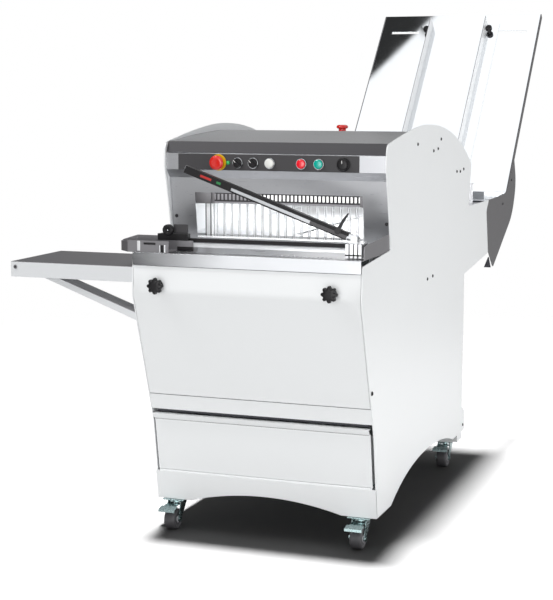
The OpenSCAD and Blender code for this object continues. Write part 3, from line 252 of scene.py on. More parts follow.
# Painted shade on the brace's upper side: the same grey, paler
PAINTED_SHADE_PALE = Finish("painted_shade_pale_grey", "#959497", 0.4, grain_mm=1.6, bump=0.04, spread=0.04,
                    mottle=0.02)
# Mirror-polished stainless of the chute: clear reflections, faint wipe marks in the gloss
POLISHED = Finish("mirror_polished_stainless", "#DADDE0", 0.022, 1.0, grain_mm=60, bump=0.002,
                  spread=0.006, mottle=0.01, mottle_mm=300)
# Fine-textured dark powder coat of the console plate: grainy, with little shine
CONSOLE_COAT = Finish("dark_textured_coat", "#414042", 0.5, grain_mm=0.8, bump=0.16, bump_mm=0.08,
                      spread=0.06, mottle=0.03, mottle_mm=60, gloss=0.25)
# Smooth grey lacquer of the strip above the console: even, with a low sheen
STRIP_COAT = Finish("grey_lacquer", "#454447", 0.48, grain_mm=1.4, bump=0.04, spread=0.05,
                    mottle=0.02, gloss=0.2)
# Satin mid-grey coat of the chute cheeks, the holder's ends and the guide shields: a soft sheen
GREY_COAT = Finish("satin_grey_coat", "#565557", 0.42, grain_mm=1.8, bump=0.06, spread=0.05, mottle=0.02)
# Bright zinc plate with a bluish passivation: slightly cloudy
ZINC = Finish("zinc_plate", "#93A5A6", 0.27, 1.0, grain_mm=6, bump=0.04, spread=0.08, mottle=0.07,
              mottle_mm=14)
# Ground and honed blade steel: pale, streaked along the blade
BLADE_STEEL = Finish("honed_blade_steel", "#E8E9EA", 0.42, 0.35, grain_mm=0.6, stretch=(1.0, 1.0, 0.05),
                     bump=0.02, spread=0.05, mottle=0.03, mottle_mm=30)
# Moulded phenolic plastic: black, slightly grained
BLACK_PLASTIC = Finish("black_moulded_plastic", "#1A191B", 0.4, grain_mm=0.7, bump=0.08, spread=0.07,
                       mottle=0.06, mottle_mm=20, gloss=0.22)
# Vulcanised belt and seal rubber: black and dull
BLACK_RUBBER = Finish("black_rubber", "#161617", 0.66, grain_mm=0.9, bump=0.14, spread=0.06, mottle=0.08,
                      mottle_mm=15)
# Moulded elastic tread: grey and dull
TREAD_RUBBER = Finish("grey_elastic_tread", "#424144", 0.58, grain_mm=1.0, bump=0.1, spread=0.06,
                      mottle=0.06, mottle_mm=12)
# Moulded polyamide hub: light grey, faintly mottled
HUB_PLASTIC = Finish("light_grey_polyamide", "#9C9DA0", 0.45, grain_mm=0.9, bump=0.06, mottle=0.04,
                     mottle_mm=10)
# Moulded plastic of the mushroom heads: strong red under a glossy skin
RED_PLASTIC = Finish("red_moulded_plastic", "#DD2219", 0.26, grain_mm=1.2, bump=0.03, mottle=0.03,
                     mottle_mm=10, coat=0.3)
# Moulded caps of the red and the green button: glossy, lit a little from inside
RED_BUTTON = Finish("red_button_plastic", "#E3172A", 0.24, grain_mm=1.2, bump=0.02, mottle=0.03,
                    mottle_mm=8, coat=0.4, glow=0.12)
GREEN_BUTTON = Finish("green_button_plastic", "#00A493", 0.24, grain_mm=1.2, bump=0.02, mottle=0.03,
                      mottle_mm=8, coat=0.4, glow=0.12)
# Moulded cap of the white button: glossy, a little warm
WHITE_BUTTON = Finish("white_button_plastic", "#E6E6E2", 0.28, grain_mm=1.2, bump=0.02, mottle=0.02,
                      mottle_mm=8, coat=0.3)
# Moulded plastic of the stop's ring: warm yellow, satin
YELLOW_PLASTIC = Finish("yellow_moulded_plastic", "#E2B208", 0.36, grain_mm=1.0, bump=0.04, mottle=0.03,
                        mottle_mm=9)
# Moulded lens over a small lamp: glossy green, lit from inside
LAMP_GREEN = Finish("green_lamp_lens", "#1A9A4A", 0.18, grain_mm=1.2, bump=0.02, mottle=0.02,
                    mottle_mm=5, coat=0.5, glow=0.3)
# Paint of the white pointers and of the arm's red and green marks: thin and matt
PRINT_WHITE = Finish("white_paint_mark", "#E6E6E4", 0.5, grain_mm=0.8, bump=0.03, mottle=0.02)
RED_PAINT = Finish("red_paint_mark", "#B3211C", 0.45, grain_mm=0.8, bump=0.03, mottle=0.04, mottle_mm=9)
GREEN_PAINT = Finish("green_paint_mark", "#1D7A3E", 0.45, grain_mm=0.8, bump=0.03, mottle=0.04,
                     mottle_mm=9)
# Chrome plate on the brass lips of the bezels: a clear mirror, hardly clouded
CHROME = Finish("chrome_plate", "#C9CCCF", 0.1, 1.0, grain_mm=8, bump=0.01, spread=0.03, mottle=0.02)
# Anodised extrusion of the press arm, drawn lengthwise: a soft sheen with fine lines
ANODISED = Finish("satin_anodised_aluminium", "#B5B7BA", 0.32, 1.0, grain_mm=0.9,
                  stretch=(0.04, 1.0, 1.0), bump=0.05, spread=0.06, mottle=0.03, mottle_mm=40)
# Ground flat steel of the blade frames: oiled and bright
FRAME_STEEL = Finish("ground_flat_steel", "#C4C6C9", 0.26, 1.0, grain_mm=0.8, stretch=(1.0, 1.0, 0.04),
                     bump=0.02, spread=0.04, mottle=0.03, mottle_mm=40)
# White acetal liner behind the blade clamps: plain and satin
WHITE_LINER = Finish("white_acetal", "#E2E2E0", 0.4, grain_mm=1.0, bump=0.02, mottle=0.02, mottle_mm=30)
# Blackened steel of screws, clamps and lever: dark with a dull shine
DARK_STEEL = Finish("blackened_steel", "#302F31", 0.42, 0.4, grain_mm=1.4, bump=0.06, spread=0.07,
                    mottle=0.05, mottle_mm=30, gloss=0.3)
# Finely blasted stainless of the chute guides, the blade frames' faces and the window's landing: near white
WHITE_STEEL = Finish("fine_blasted_stainless", "#F3F4F5", 0.3, 0.2, grain_mm=0.8, bump=0.02, mottle=0.02,
                     mottle_mm=60)
# Bead-blasted bright stainless of the tray's bed, the infeed table and the pusher: pale, reflects no shapes
BLASTED_BED = Finish("blasted_bright_bed", "#E9EAEC", 0.42, 0.45, grain_mm=1.0, stretch=(0.1, 1.0, 1.0),
                     bump=0.02, spread=0.04, mottle=0.03, mottle_mm=90)
# Black anodising of the arm's foot: rubbed bright along its edges
SCUFFED_DARK = Finish("rubbed_black_anodising", "#4A494B", 0.36, 0.5, grain_mm=3, stretch=(0.2, 1.0, 1.0),
                      bump=0.05, spread=0.09, mottle=0.3, mottle_mm=9)
# Bead-blasted bright stainless of the comb and the scoop's strips: pale and silky
COMB_BRIGHT = Finish("blasted_bright_stainless", "#E0E1E3", 0.34, 0.75, grain_mm=0.8, bump=0.03,
                     mottle=0.03, mottle_mm=20)
# Sprayed machine enamel of the motor: blue-grey with some orange peel
MOTOR_PAINT = Finish("blue_grey_enamel", "#4E6068", 0.4, grain_mm=1.6, bump=0.08, spread=0.05, mottle=0.03)


def pick(*objects: bpy.types.Object) -> None:
    """Selects only the given objects, the last one active.

    Args:
        objects: what is to be selected, or nothing.
    """
    bpy.ops.object.select_all(action="DESELECT")
    for piece in objects:
        piece.select_set(True)
        bpy.context.view_layer.objects.active = piece


@contextmanager
def editing(piece: bpy.types.Object) -> Iterator[None]:
    """Opens a piece in edit mode with everything selected.

    Args:
        piece: mesh object to edit.
    """
    pick(piece)
    bpy.ops.object.mode_set(mode="EDIT")
    bpy.ops.mesh.select_all(action="SELECT")
    try:
        yield
    finally:
        bpy.ops.object.mode_set(mode="OBJECT")


def settle(piece: bpy.types.Object) -> None:
    """Applies a piece's place, turn and scale to its mesh."""
    pick(piece)
    bpy.ops.object.transform_apply(location=True, rotation=True, scale=True)


def put(piece: bpy.types.Object, turn: Sequence[float], place: Vector) -> None:
    """Turns a piece that was made at the origin, moves it to its place and applies both.

    Args:
        piece: the piece.
        turn: Euler angles.
        place: where its origin goes.
    """
    piece.rotation_euler = turn
    piece.location = place
    settle(piece)


def round_edges(piece: bpy.types.Object, width_mm: float, segments: int = 2, angle: float = 30.0) -> None:
    """Rounds the sharp edges of a piece and shades it smooth.

    Args:
        piece: mesh object, at the origin.
        width_mm: width of the rounding.
        segments: faces across the rounding.
        angle: edges sharper than this many degrees are rounded.
    """
    pick(piece)
    bevel = piece.modifiers.new("edges", "BEVEL")
    bevel.width = width_mm * MM
    bevel.segments = segments
    bevel.limit_method = "ANGLE"
    bevel.angle_limit = math.radians(angle)
    bpy.ops.object.modifier_apply(modifier=bevel.name)
    bpy.ops.object.shade_smooth_by_angle(angle=math.radians(SMOOTH_ROUNDED))
    # Flat faces stay flat up to their roundings
    weigh = piece.modifiers.new("flat_faces", "WEIGHTED_NORMAL")
    weigh.weight = 100
    weigh.keep_sharp = True
    bpy.ops.object.modifier_apply(modifier=weigh.name)


def dress(piece: bpy.types.Object, finish: Finish) -> None:
    """Gives a piece one finish all over."""
    piece.data.materials.clear()
    piece.data.materials.append(finish.material())


def join(name: str, pieces: Sequence[bpy.types.Object]) -> bpy.types.Object:
    """Joins small parts into one piece.

    Args:
        name: name of the joined piece.
        pieces: the parts.

    Returns:
        The joined piece.
    """
    pick(*pieces)
    bpy.ops.object.join()
    made = bpy.context.view_layer.objects.active
    made.name = made.data.name = name
    return made


def copy_to(piece: bpy.types.Object, shift: Vector) -> bpy.types.Object:
    """Copies a finished piece.

    Args:
        piece: what is copied.
        shift: how far the copy is moved, in metres.

    Returns:
        The copy, with its own mesh.
    """
    made = piece.copy()
    made.data = piece.data.copy()
    made.data.transform(Matrix.Translation(shift))
    bpy.context.scene.collection.objects.link(made)
    return made


def turned(name: str, stations: Sequence[tuple[float, float]], place: Vector, axis: Axis = Axis.UP,
           sides: int = 48) -> bpy.types.Object:
    """Turns a piece: a disc that is extruded and resized from station to station.

    Args:
        name: piece name.
        stations: radius and height pairs in mm, from the seat outwards.
        place: where the seat's middle goes.
        axis: direction of the height.
        sides: sides of the circle.

    Returns:
        The piece, closed at both ends.
    """
    radius, height = stations[0]
    pick()
    bpy.ops.mesh.primitive_circle_add(vertices=sides, radius=radius * MM, fill_type="NGON",
                                      location=(0, 0, height * MM))
    piece = bpy.context.object
    piece.name = piece.data.name = name
    settle(piece)
    with editing(piece):
        for wide, high in stations[1:]:
            bpy.ops.mesh.extrude_region_move(
                TRANSFORM_OT_translate={"value": (0, 0, (high - height) * MM)})
            bpy.ops.transform.resize(value=(wide / radius, wide / radius, 1))
            radius, height = wide, high
        bpy.ops.mesh.select_all(action="SELECT")
        bpy.ops.mesh.normals_make_consistent(inside=False)
    put(piece, axis.value, place)
    bpy.ops.object.shade_smooth_by_angle(angle=math.radians(SMOOTH_TURNED))
    return piece


def pinch(piece: bpy.types.Object, share: Callable[[float, float, float], float]) -> None:
    """Draws points of a turned piece towards its axis.

    Args:
        piece: the piece, with its axis on Z.
        share: gives what is left of a point's radius, from its radius and height in mm and its angle.
    """
    for vertex in piece.data.vertices:
        x, y, z = vertex.co
        left = share(math.hypot(x, y) / MM, z / MM, math.atan2(y, x))
        vertex.co.x *= left
        vertex.co.y *= left


def block(name: str, low: Point, high: Point, edge_mm: float = 0.8, segments: int = 2) -> bpy.types.Object:
    """Makes a rounded block.

    Args:
        name: piece name.
        low: lowest corner in the machine's frame.
        high: highest corner in the machine's frame.
        edge_mm: width of the rounding.
        segments: faces across the rounding.

    Returns:
        The block.
    """
    pick()
    bpy.ops.mesh.primitive_cube_add(size=1)
    piece = bpy.context.object
    piece.name = piece.data.name = name
    a, b = at(*low), at(*high)
    piece.scale = b - a
    piece.location = (a + b) / 2
    settle(piece)
    round_edges(piece, edge_mm, segments)
    return piece


def loose_block(name: str, low: Point, high: Point, edge_mm: float, segments: int = 2) -> bpy.types.Object:
    """Makes a rounded block at the origin, for put(). Its corners are mm from there."""
    (x0, y0, z0), (x1, y1, z1) = low, high
    return block(name, (x0 + MID_X, y0 + MID_Y, z0), (x1 + MID_X, y1 + MID_Y, z1), edge_mm, segments)


@dataclass
class Machine:
    """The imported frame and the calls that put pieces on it."""

    frame: dict[str, Any]
    made: list[str] = field(default_factory=list)

    def body_of(self, node: str) -> str:
        """Gives the body that a node rides on."""
        return self.frame["nodes"][node]["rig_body"]

    def keep(self, node: str, finish: Finish) -> None:
        """Leaves a CAD node showing, in a finish.

        Args:
            node: node name.
            finish: its finish.
        """
        for slot in self.frame["nodes"][node].material_slots:
            slot.material = finish.material()
        self.made.append(node)

    def ride(self, piece: bpy.types.Object, body: str, finish: Finish,
             stands_for: Sequence[str] = ()) -> None:
        """Puts a piece on a body.

        Args:
            piece: the piece.
            body: body name.
            finish: its finish.
            stands_for: CAD nodes that the piece replaces.
        """
        dress(piece, finish)
        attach(piece, body)
        if stands_for:
            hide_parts(*stands_for)
        self.made.append(piece.name)

    def soften(self, node: str, finish: Finish, edge_mm: float = 0.6, segments: int = 2,
               also: Sequence[tuple[Finish, FaceRule]] = (),
               cuts: Sequence[tuple[Point, Point]] = ()) -> None:
        """Replaces a CAD node by a copy with rounded edges, on the node's body.

        Args:
            node: node name.
            finish: finish of the copy.
            edge_mm: width of the rounding.
            segments: faces across the rounding.
            also: further finishes, each with the rule that picks its faces.
            cuts: planes, as a point in mm and a normal, that part the faces between two finishes.
        """
        source = self.frame["nodes"][node]
        piece = source.copy()
        piece.data = source.data.copy()
        for key in list(piece.keys()):
            del piece[key]
        piece.parent = None
        piece.matrix_world = Matrix.Identity(4)
        piece.name = piece.data.name = node + "_finished"
        bpy.context.scene.collection.objects.link(piece)
        with editing(piece):
            bpy.ops.mesh.customdata_custom_splitnormals_clear()
            bpy.ops.mesh.remove_doubles(threshold=WELD)
            bpy.ops.mesh.dissolve_limited(angle_limit=math.radians(FLAT))
            for point, normal in cuts:
                bpy.ops.mesh.select_all(action="SELECT")
                bpy.ops.mesh.bisect(plane_co=at(*point), plane_no=normal)
        round_edges(piece, edge_mm, segments)
        self.ride(piece, self.body_of(node), finish, [node])
        for number, (other, rule) in enumerate(also, 1):
            piece.data.materials.append(other.material())
            for face in piece.data.polygons:
                centre = face.center / MM + Vector((MID_X, MID_Y, 0))
                if rule(centre, face.normal):
                    face.material_index = number


@dataclass(frozen=True)
class Lamp:
    """A square soft light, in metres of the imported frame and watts."""

    name: str
    place: Point
    target: Point
    size: float
    watts: float


@dataclass(frozen=True)
class Ramp:
    """A tone of the studio that metal sees: low up to start, high from end on."""

    name: str
    along: Along
    start: float
    end: float
    low: float
    high: float
    ease: Ease = Ease.SOFT


@dataclass
class Studio:
    """Camera, floor and lights of a plain pale studio. Sizes of floor and lights are metres."""

    camera_at: Point = (1338.7, -3552.1, 1164.2)
    yaw: float = 20.1766
    pitch: float = 8.0269
    lens_mm: float = 89.69
    sensor_mm: float = 36.0
    floor_radius: float = 14.0
    floor_fade: tuple[float, float] = (1.5, 3.2)
    floor_seen: float = 0.18
    floor_thrown: float = 0.085
    even_light: float = 0.22
    right_shine: float = 0.25
    window_height: float = 0.03
    lamps: Sequence[Lamp] = (
        Lamp("key", (-1.7, -2.4, 4.0), (0.2, -0.2, 0.3), 1.5, 95),
        Lamp("front", (0.9, -5.4, 0.9), (0.1, -0.6, 0.6), 3.0, 122),
        Lamp("right", (4.6, -0.6, 0.5), (0.2, 0.0, 0.5), 2.6, 125),
        Lamp("hood", (0.22, -0.36, 0.955), (0.22, -0.36, 0.5), 0.42, 3.4),
        Lamp("window", (0.176, -0.872, 0.908), (0.176, -0.80, 0.83), 0.5, 0.36))
    overhead: Lamp = Lamp("overhead", (-0.35, -1.25, 10.0), (0.0, 0.0, 0.0), 1.2, 7400)
    # Metal sees a studio that is bright in front, on the right and overhead, and dim on the left and
    # behind. A corner of the ceiling at the upper left is dark, and the ceiling is dimmer towards the
    # front, so that the chute stands out from the white in high views.
    to_corner: Point = (-0.7, 0.714, 0.0)
    tones: Sequence[Ramp] = (
        Ramp("left", Along.X, -0.435, -0.365, 0.08, 1.1),
        Ramp("low", Along.Z, 0.1, 0.6, 0.3, 1.0),
        Ramp("behind", Along.Y, 0.0, 0.5, 1.0, 0.0),
        Ramp("aside", Along.X, -0.05, 0.2, 0.0, 0.36),
        Ramp("corner", Along.CORNER, 0.1465, 0.15, 1.3, 0.035),
        Ramp("high", Along.Z, 0.9, 0.94, 1.0, 0.0, Ease.STRAIGHT),
        Ramp("front", Along.Y, -0.4, -0.2, 0.6, 1.0),
        Ramp("level", Along.Z, 0.15, 0.35, 1.0, 0.6))

    def build(self) -> None:
        """Makes the camera, the floor and the lights."""
        scene = bpy.context.scene
        scene.view_settings.view_transform = "Standard"
        camera = bpy.data.objects.new("camera", bpy.data.cameras.new("camera"))
        camera.data.lens = self.lens_mm
        camera.data.sensor_width = self.sensor_mm
        camera.location = at(*self.camera_at)
        camera.rotation_euler = (math.radians(90 - self.pitch), 0, math.radians(self.yaw))
        scene.collection.objects.link(camera)
        scene.camera = camera
        self._floor()
        self._world()
        made = {lamp.name: self._light(lamp) for lamp in self.lamps}
        made["right"].data.specular_factor = self.right_shine
        made["window"].data.shape = "RECTANGLE"
        made["window"].data.size_y = self.window_height

    def shade_floor(self, cabinet: Sequence[str]) -> None:
        """Lights the floor from above, with the cabinet's soft shadow on it.

        Args:
            cabinet: names of the pieces that cast the shadow.
        """
        floor = bpy.data.objects["studio_floor"]
        others = bpy.data.collections.new("not_on_floor")
        others.objects.link(floor)
        others.collection_objects[0].light_linking.link_state = "EXCLUDE"
        for name in ("key", "front", "right"):
            bpy.data.objects[name].light_linking.receiver_collection = others
        lamp = self._light(self.overhead)
        lit = bpy.data.collections.new("overhead_lights")
        lit.objects.link(floor)
        lamp.light_linking.receiver_collection = lit
        casters = bpy.data.collections.new("overhead_shadows")
        for name in cabinet:
            casters.objects.link(bpy.data.objects[name])
        lamp.light_linking.blocker_collection = casters

    def _light(self, lamp: Lamp) -> bpy.types.Object:
        """Adds one soft light that faces its target.

        Args:
            lamp: its place, target, size and power.

        Returns:
            The light.
        """
        made = bpy.data.objects.new(lamp.name, bpy.data.lights.new(lamp.name, "AREA"))
        made.data.size = lamp.size
        made.data.energy = lamp.watts
        made.location = lamp.place
        way = Vector(lamp.target) - Vector(lamp.place)
        made.rotation_euler = way.to_track_quat("-Z", "Y").to_euler()
        made.visible_camera = False
        bpy.context.scene.collection.objects.link(made)
        return made

    def _floor(self) -> None:
        """Adds a wide pale floor that fades out into the background."""
        pick()
        bpy.ops.mesh.primitive_circle_add(vertices=96, radius=self.floor_radius, fill_type="NGON")
        floor = bpy.context.object
        floor.name = "studio_floor"
        made = bpy.data.materials.new("pale_floor")
        made.use_nodes = True
        tree = made.node_tree
        tree.nodes.clear()
        place = add_node(tree, "ShaderNodeTexCoord").outputs["Object"]
        far = add_node(tree, "ShaderNodeVectorMath", {"operation": "LENGTH"}, {0: place})
        fade = add_node(tree, "ShaderNodeMapRange", {
            "From Min": self.floor_fade[0], "From Max": self.floor_fade[1],
            "interpolation_type": Ease.SOFT.value,
        }, {"Value": far.outputs["Value"]})
        path = add_node(tree, "ShaderNodeLightPath")
        # The camera and the metal see the lit floor as white; it throws little of that light back
        seen = add_node(tree, "ShaderNodeMath", {"operation": "MAXIMUM"}, {
            0: path.outputs["Is Camera Ray"], 1: path.outputs["Is Glossy Ray"]})
        shade = add_node(tree, "ShaderNodeMix", {
            "data_type": "RGBA", 6: (self.floor_thrown,) * 3 + (1,), 7: (self.floor_seen,) * 3 + (1,),
        }, {0: seen.outputs[0]})
        matt = add_node(tree, "ShaderNodeBsdfDiffuse", {}, {"Color": shade.outputs[2]})
        clear = add_node(tree, "ShaderNodeBsdfTransparent")
        both = add_node(tree, "ShaderNodeMixShader", {}, {
            0: fade.outputs[0], 1: matt.outputs[0], 2: clear.outputs[0]})
        add_node(tree, "ShaderNodeOutputMaterial", {}, {"Surface": both.outputs[0]})
        floor.data.materials.append(made)

    def _world(self) -> None:
        """Lights the scene evenly, with a white background for the camera and tones for metal."""
        world = bpy.data.worlds.new("studio")
        bpy.context.scene.world = world
        world.use_nodes = True
        tree = world.node_tree
        tree.nodes.clear()
        path = add_node(tree, "ShaderNodeLightPath")
        place = add_node(tree, "ShaderNodeTexCoord").outputs["Generated"]
        split = add_node(tree, "ShaderNodeSeparateXYZ", {}, {0: place})
        corner = add_node(tree, "ShaderNodeVectorMath", {
            "operation": "DOT_PRODUCT", 1: self.to_corner}, {0: place})
        ways = {way: split.outputs[way.value] for way in (Along.X, Along.Y, Along.Z)}
        ways[Along.CORNER] = corner.outputs["Value"]
        tones = {ramp.name: add_node(tree, "ShaderNodeMapRange", {
            "From Min": ramp.start, "From Max": ramp.end, "To Min": ramp.low, "To Max": ramp.high,
            "interpolation_type": ramp.ease.value,
        }, {"Value": ways[ramp.along]}).outputs[0] for ramp in self.tones}
        for name, operation, one, two in (
                ("near", "MAXIMUM", "behind", "aside"), ("rear", "MAXIMUM", "low", "near"),
                ("dark", "MAXIMUM", "corner", "high"), ("walls", "MULTIPLY", "left", "rear"),
                ("room", "MULTIPLY", "walls", "dark"), ("ceiling", "MAXIMUM", "front", "level"),
                ("mirror", "MULTIPLY", "room", "ceiling")):
            tones[name] = add_node(tree, "ShaderNodeMath", {"operation": operation}, {
                0: tones[one], 1: tones[two]}).outputs[0]
        # Sockets 2 and 3 are the two numbers of a mix
        strength = add_node(tree, "ShaderNodeMix", {"data_type": "FLOAT", 2: self.even_light}, {
            0: path.outputs["Is Glossy Ray"], 3: tones["mirror"]})
        soft = add_node(tree, "ShaderNodeBackground", {"Color": (1, 1, 1, 1)}, {
            "Strength": strength.outputs[0]})
        white = add_node(tree, "ShaderNodeBackground", {"Color": (1, 1, 1, 1), "Strength": 1.0})
        both = add_node(tree, "ShaderNodeMixShader", {}, {
            0: path.outputs["Is Camera Ray"], 1: soft.outputs[0], 2: white.outputs[0]})
        add_node(tree, "ShaderNodeOutputWorld", {}, {"Surface": both.outputs[0]})


@dataclass
class Screws:
    """Button-head screws, modelled once and copied."""

    machine: Machine
    head_r: float = 4.6
    head_h: float = 2.6
    socket_r: float = 2.1

    def _one(self, place: Vector, axis: Axis, scale: float) -> bpy.types.Object:
        """Makes one screw head with its socket, at a size against the usual head."""
        r, h, s = self.head_r * scale, self.head_h * scale, self.socket_r * scale
        return turned("screw", [(r * 0.96, -0.4), (r, 0.3), (r * 0.92, h * 0.55), (r * 0.72, h * 0.88),
                                (s * 1.25, h), (s, h), (s * 0.9, h * 0.35)], place, axis, 20)

    def row(self, name: str, body: str, places: Sequence[Point], axis: Axis, finish: Finish = DARK_STEEL,
            scale: float = 1.0) -> None:
        """Puts a set of screws on a body as one piece.

        Args:
            name: piece name.
            body: body name.
            places: middles of the seats.
            axis: direction of the heads.
            finish: finish of the heads.
            scale: size against the usual head.
        """
        first = self._one(at(*places[0]), axis, scale)
        rest = [copy_to(first, at(*p) - at(*places[0])) for p in places[1:]]
        self.machine.ride(join(name, [first, *rest]), body, finish)


@dataclass
class Cabinet:
    """Side panels, plinth, drawer, door, base and rear cover."""

    machine: Machine
    screws: Screws
    half_out: float = 305.0
    castor_plate_top: float = 80.5
    panel_screws: Sequence[tuple[float, float]] = (
        (359, 1018), (616, 1024), (582, 998), (532, 994), (815, 922), (858, 920), (903, 925),
        (482, 639), (541, 641), (950, 124))
    door_pivot: tuple[float, float] = (-54, 416)
    knob_x: float = 230.0
    knob_y: float = -144.4
    knob_z: float = 675.0
    knob_lobes: int = 8
    lobe_root: float = 14.5
    lobe_reach: float = 5.0
    lobe_depth: float = 0.27
    lobe_power: float = 1.6

    def build(self) -> None:
        """Dresses the white body."""
        for node in ("side_panel_left", "side_panel_right", "front_panels", "front_door", "crumb_drawer",
                     "rear_cover"):
            self.machine.soften(node, WHITE_COAT, 0.8)
        self.machine.soften("base_frame", WHITE_COAT, 0.6, 1, also=[
            (ZINC, lambda centre, normal: centre.z < self.castor_plate_top)])
        self.machine.keep("drawer_rails", ZINC)
        # Folded top edge of the plinth; a grey line under the drawer's lip, which is painted shadow; and a
        # black rubber strip over the drawer, which is painted shade that darkens the gap above it
        for name, low, high, edge_mm, body, finish in (
                ("plinth_edge", (-294, -9.6, 156), (294, 4, 162.3), 0.4, "body", WHITE_COAT),
                ("drawer_lip_shadow", (-295, -32.6, 303.2), (295, -30.5, 304.9), 0.3, "drawer", PAINTED_SHADE_GREY),
                ("drawer_gap_shade", (-292, -24, 323.4), (292, -20, 331.8), 0.6, "body", BLACK_RUBBER)):
            self.machine.ride(block(name, low, high, edge_mm), body, finish)
        for side, sign, axis in (("left", -1, Axis.LEFT), ("right", 1, Axis.RIGHT)):
            x = sign * self.half_out
            self.screws.row(f"panel_screws_{side}", "body", [(x, y, z) for y, z in self.panel_screws], axis)
            self.screws.row(f"door_pivot_screw_{side}", "body", [(x, *self.door_pivot)], axis,
                            BLACK_PLASTIC, 1.3)
            self._star_knob(side, sign)

    def _star_knob(self, side: str, sign: int) -> None:
        """Makes a moulded star knob: a lobed head on a flared skirt.

        Args:
            side: left or right.
            sign: -1 on the left, 1 on the right.
        """
        knob = turned(f"star_knob_{side}", [
            (4.9, -16), (4.9, -0.4), (12.0, 0), (12.0, 1.5), (10.4, 4), (10.0, 13), (12.0, 15.5),
            (19.2, 16.5), (21.0, 18.5), (21.0, 27), (19.4, 30.0), (15.5, 31.6), (9.5, 32.2), (8.6, 33.4),
            (4.0, 33.6)], Vector((0, 0, 0)), Axis.UP, 112)
        pinch(knob, self._lobe)
        put(knob, Axis.FRONT.value, at(sign * self.knob_x, self.knob_y, self.knob_z))
        self.machine.ride(knob, f"{side}_door_knob", BLACK_PLASTIC, [f"door_knob_{side}"])

    def _lobe(self, radius: float, height: float, angle: float) -> float:
        """Gives what the star knob's lobes leave of a point's radius, as a share for pinch()."""
        deep = max(0.0, min(1.0, (radius - self.lobe_root) / self.lobe_reach))
        return 1 - self.lobe_depth * deep * (0.5 - 0.5 * math.cos(angle * self.knob_lobes)) ** self.lobe_power


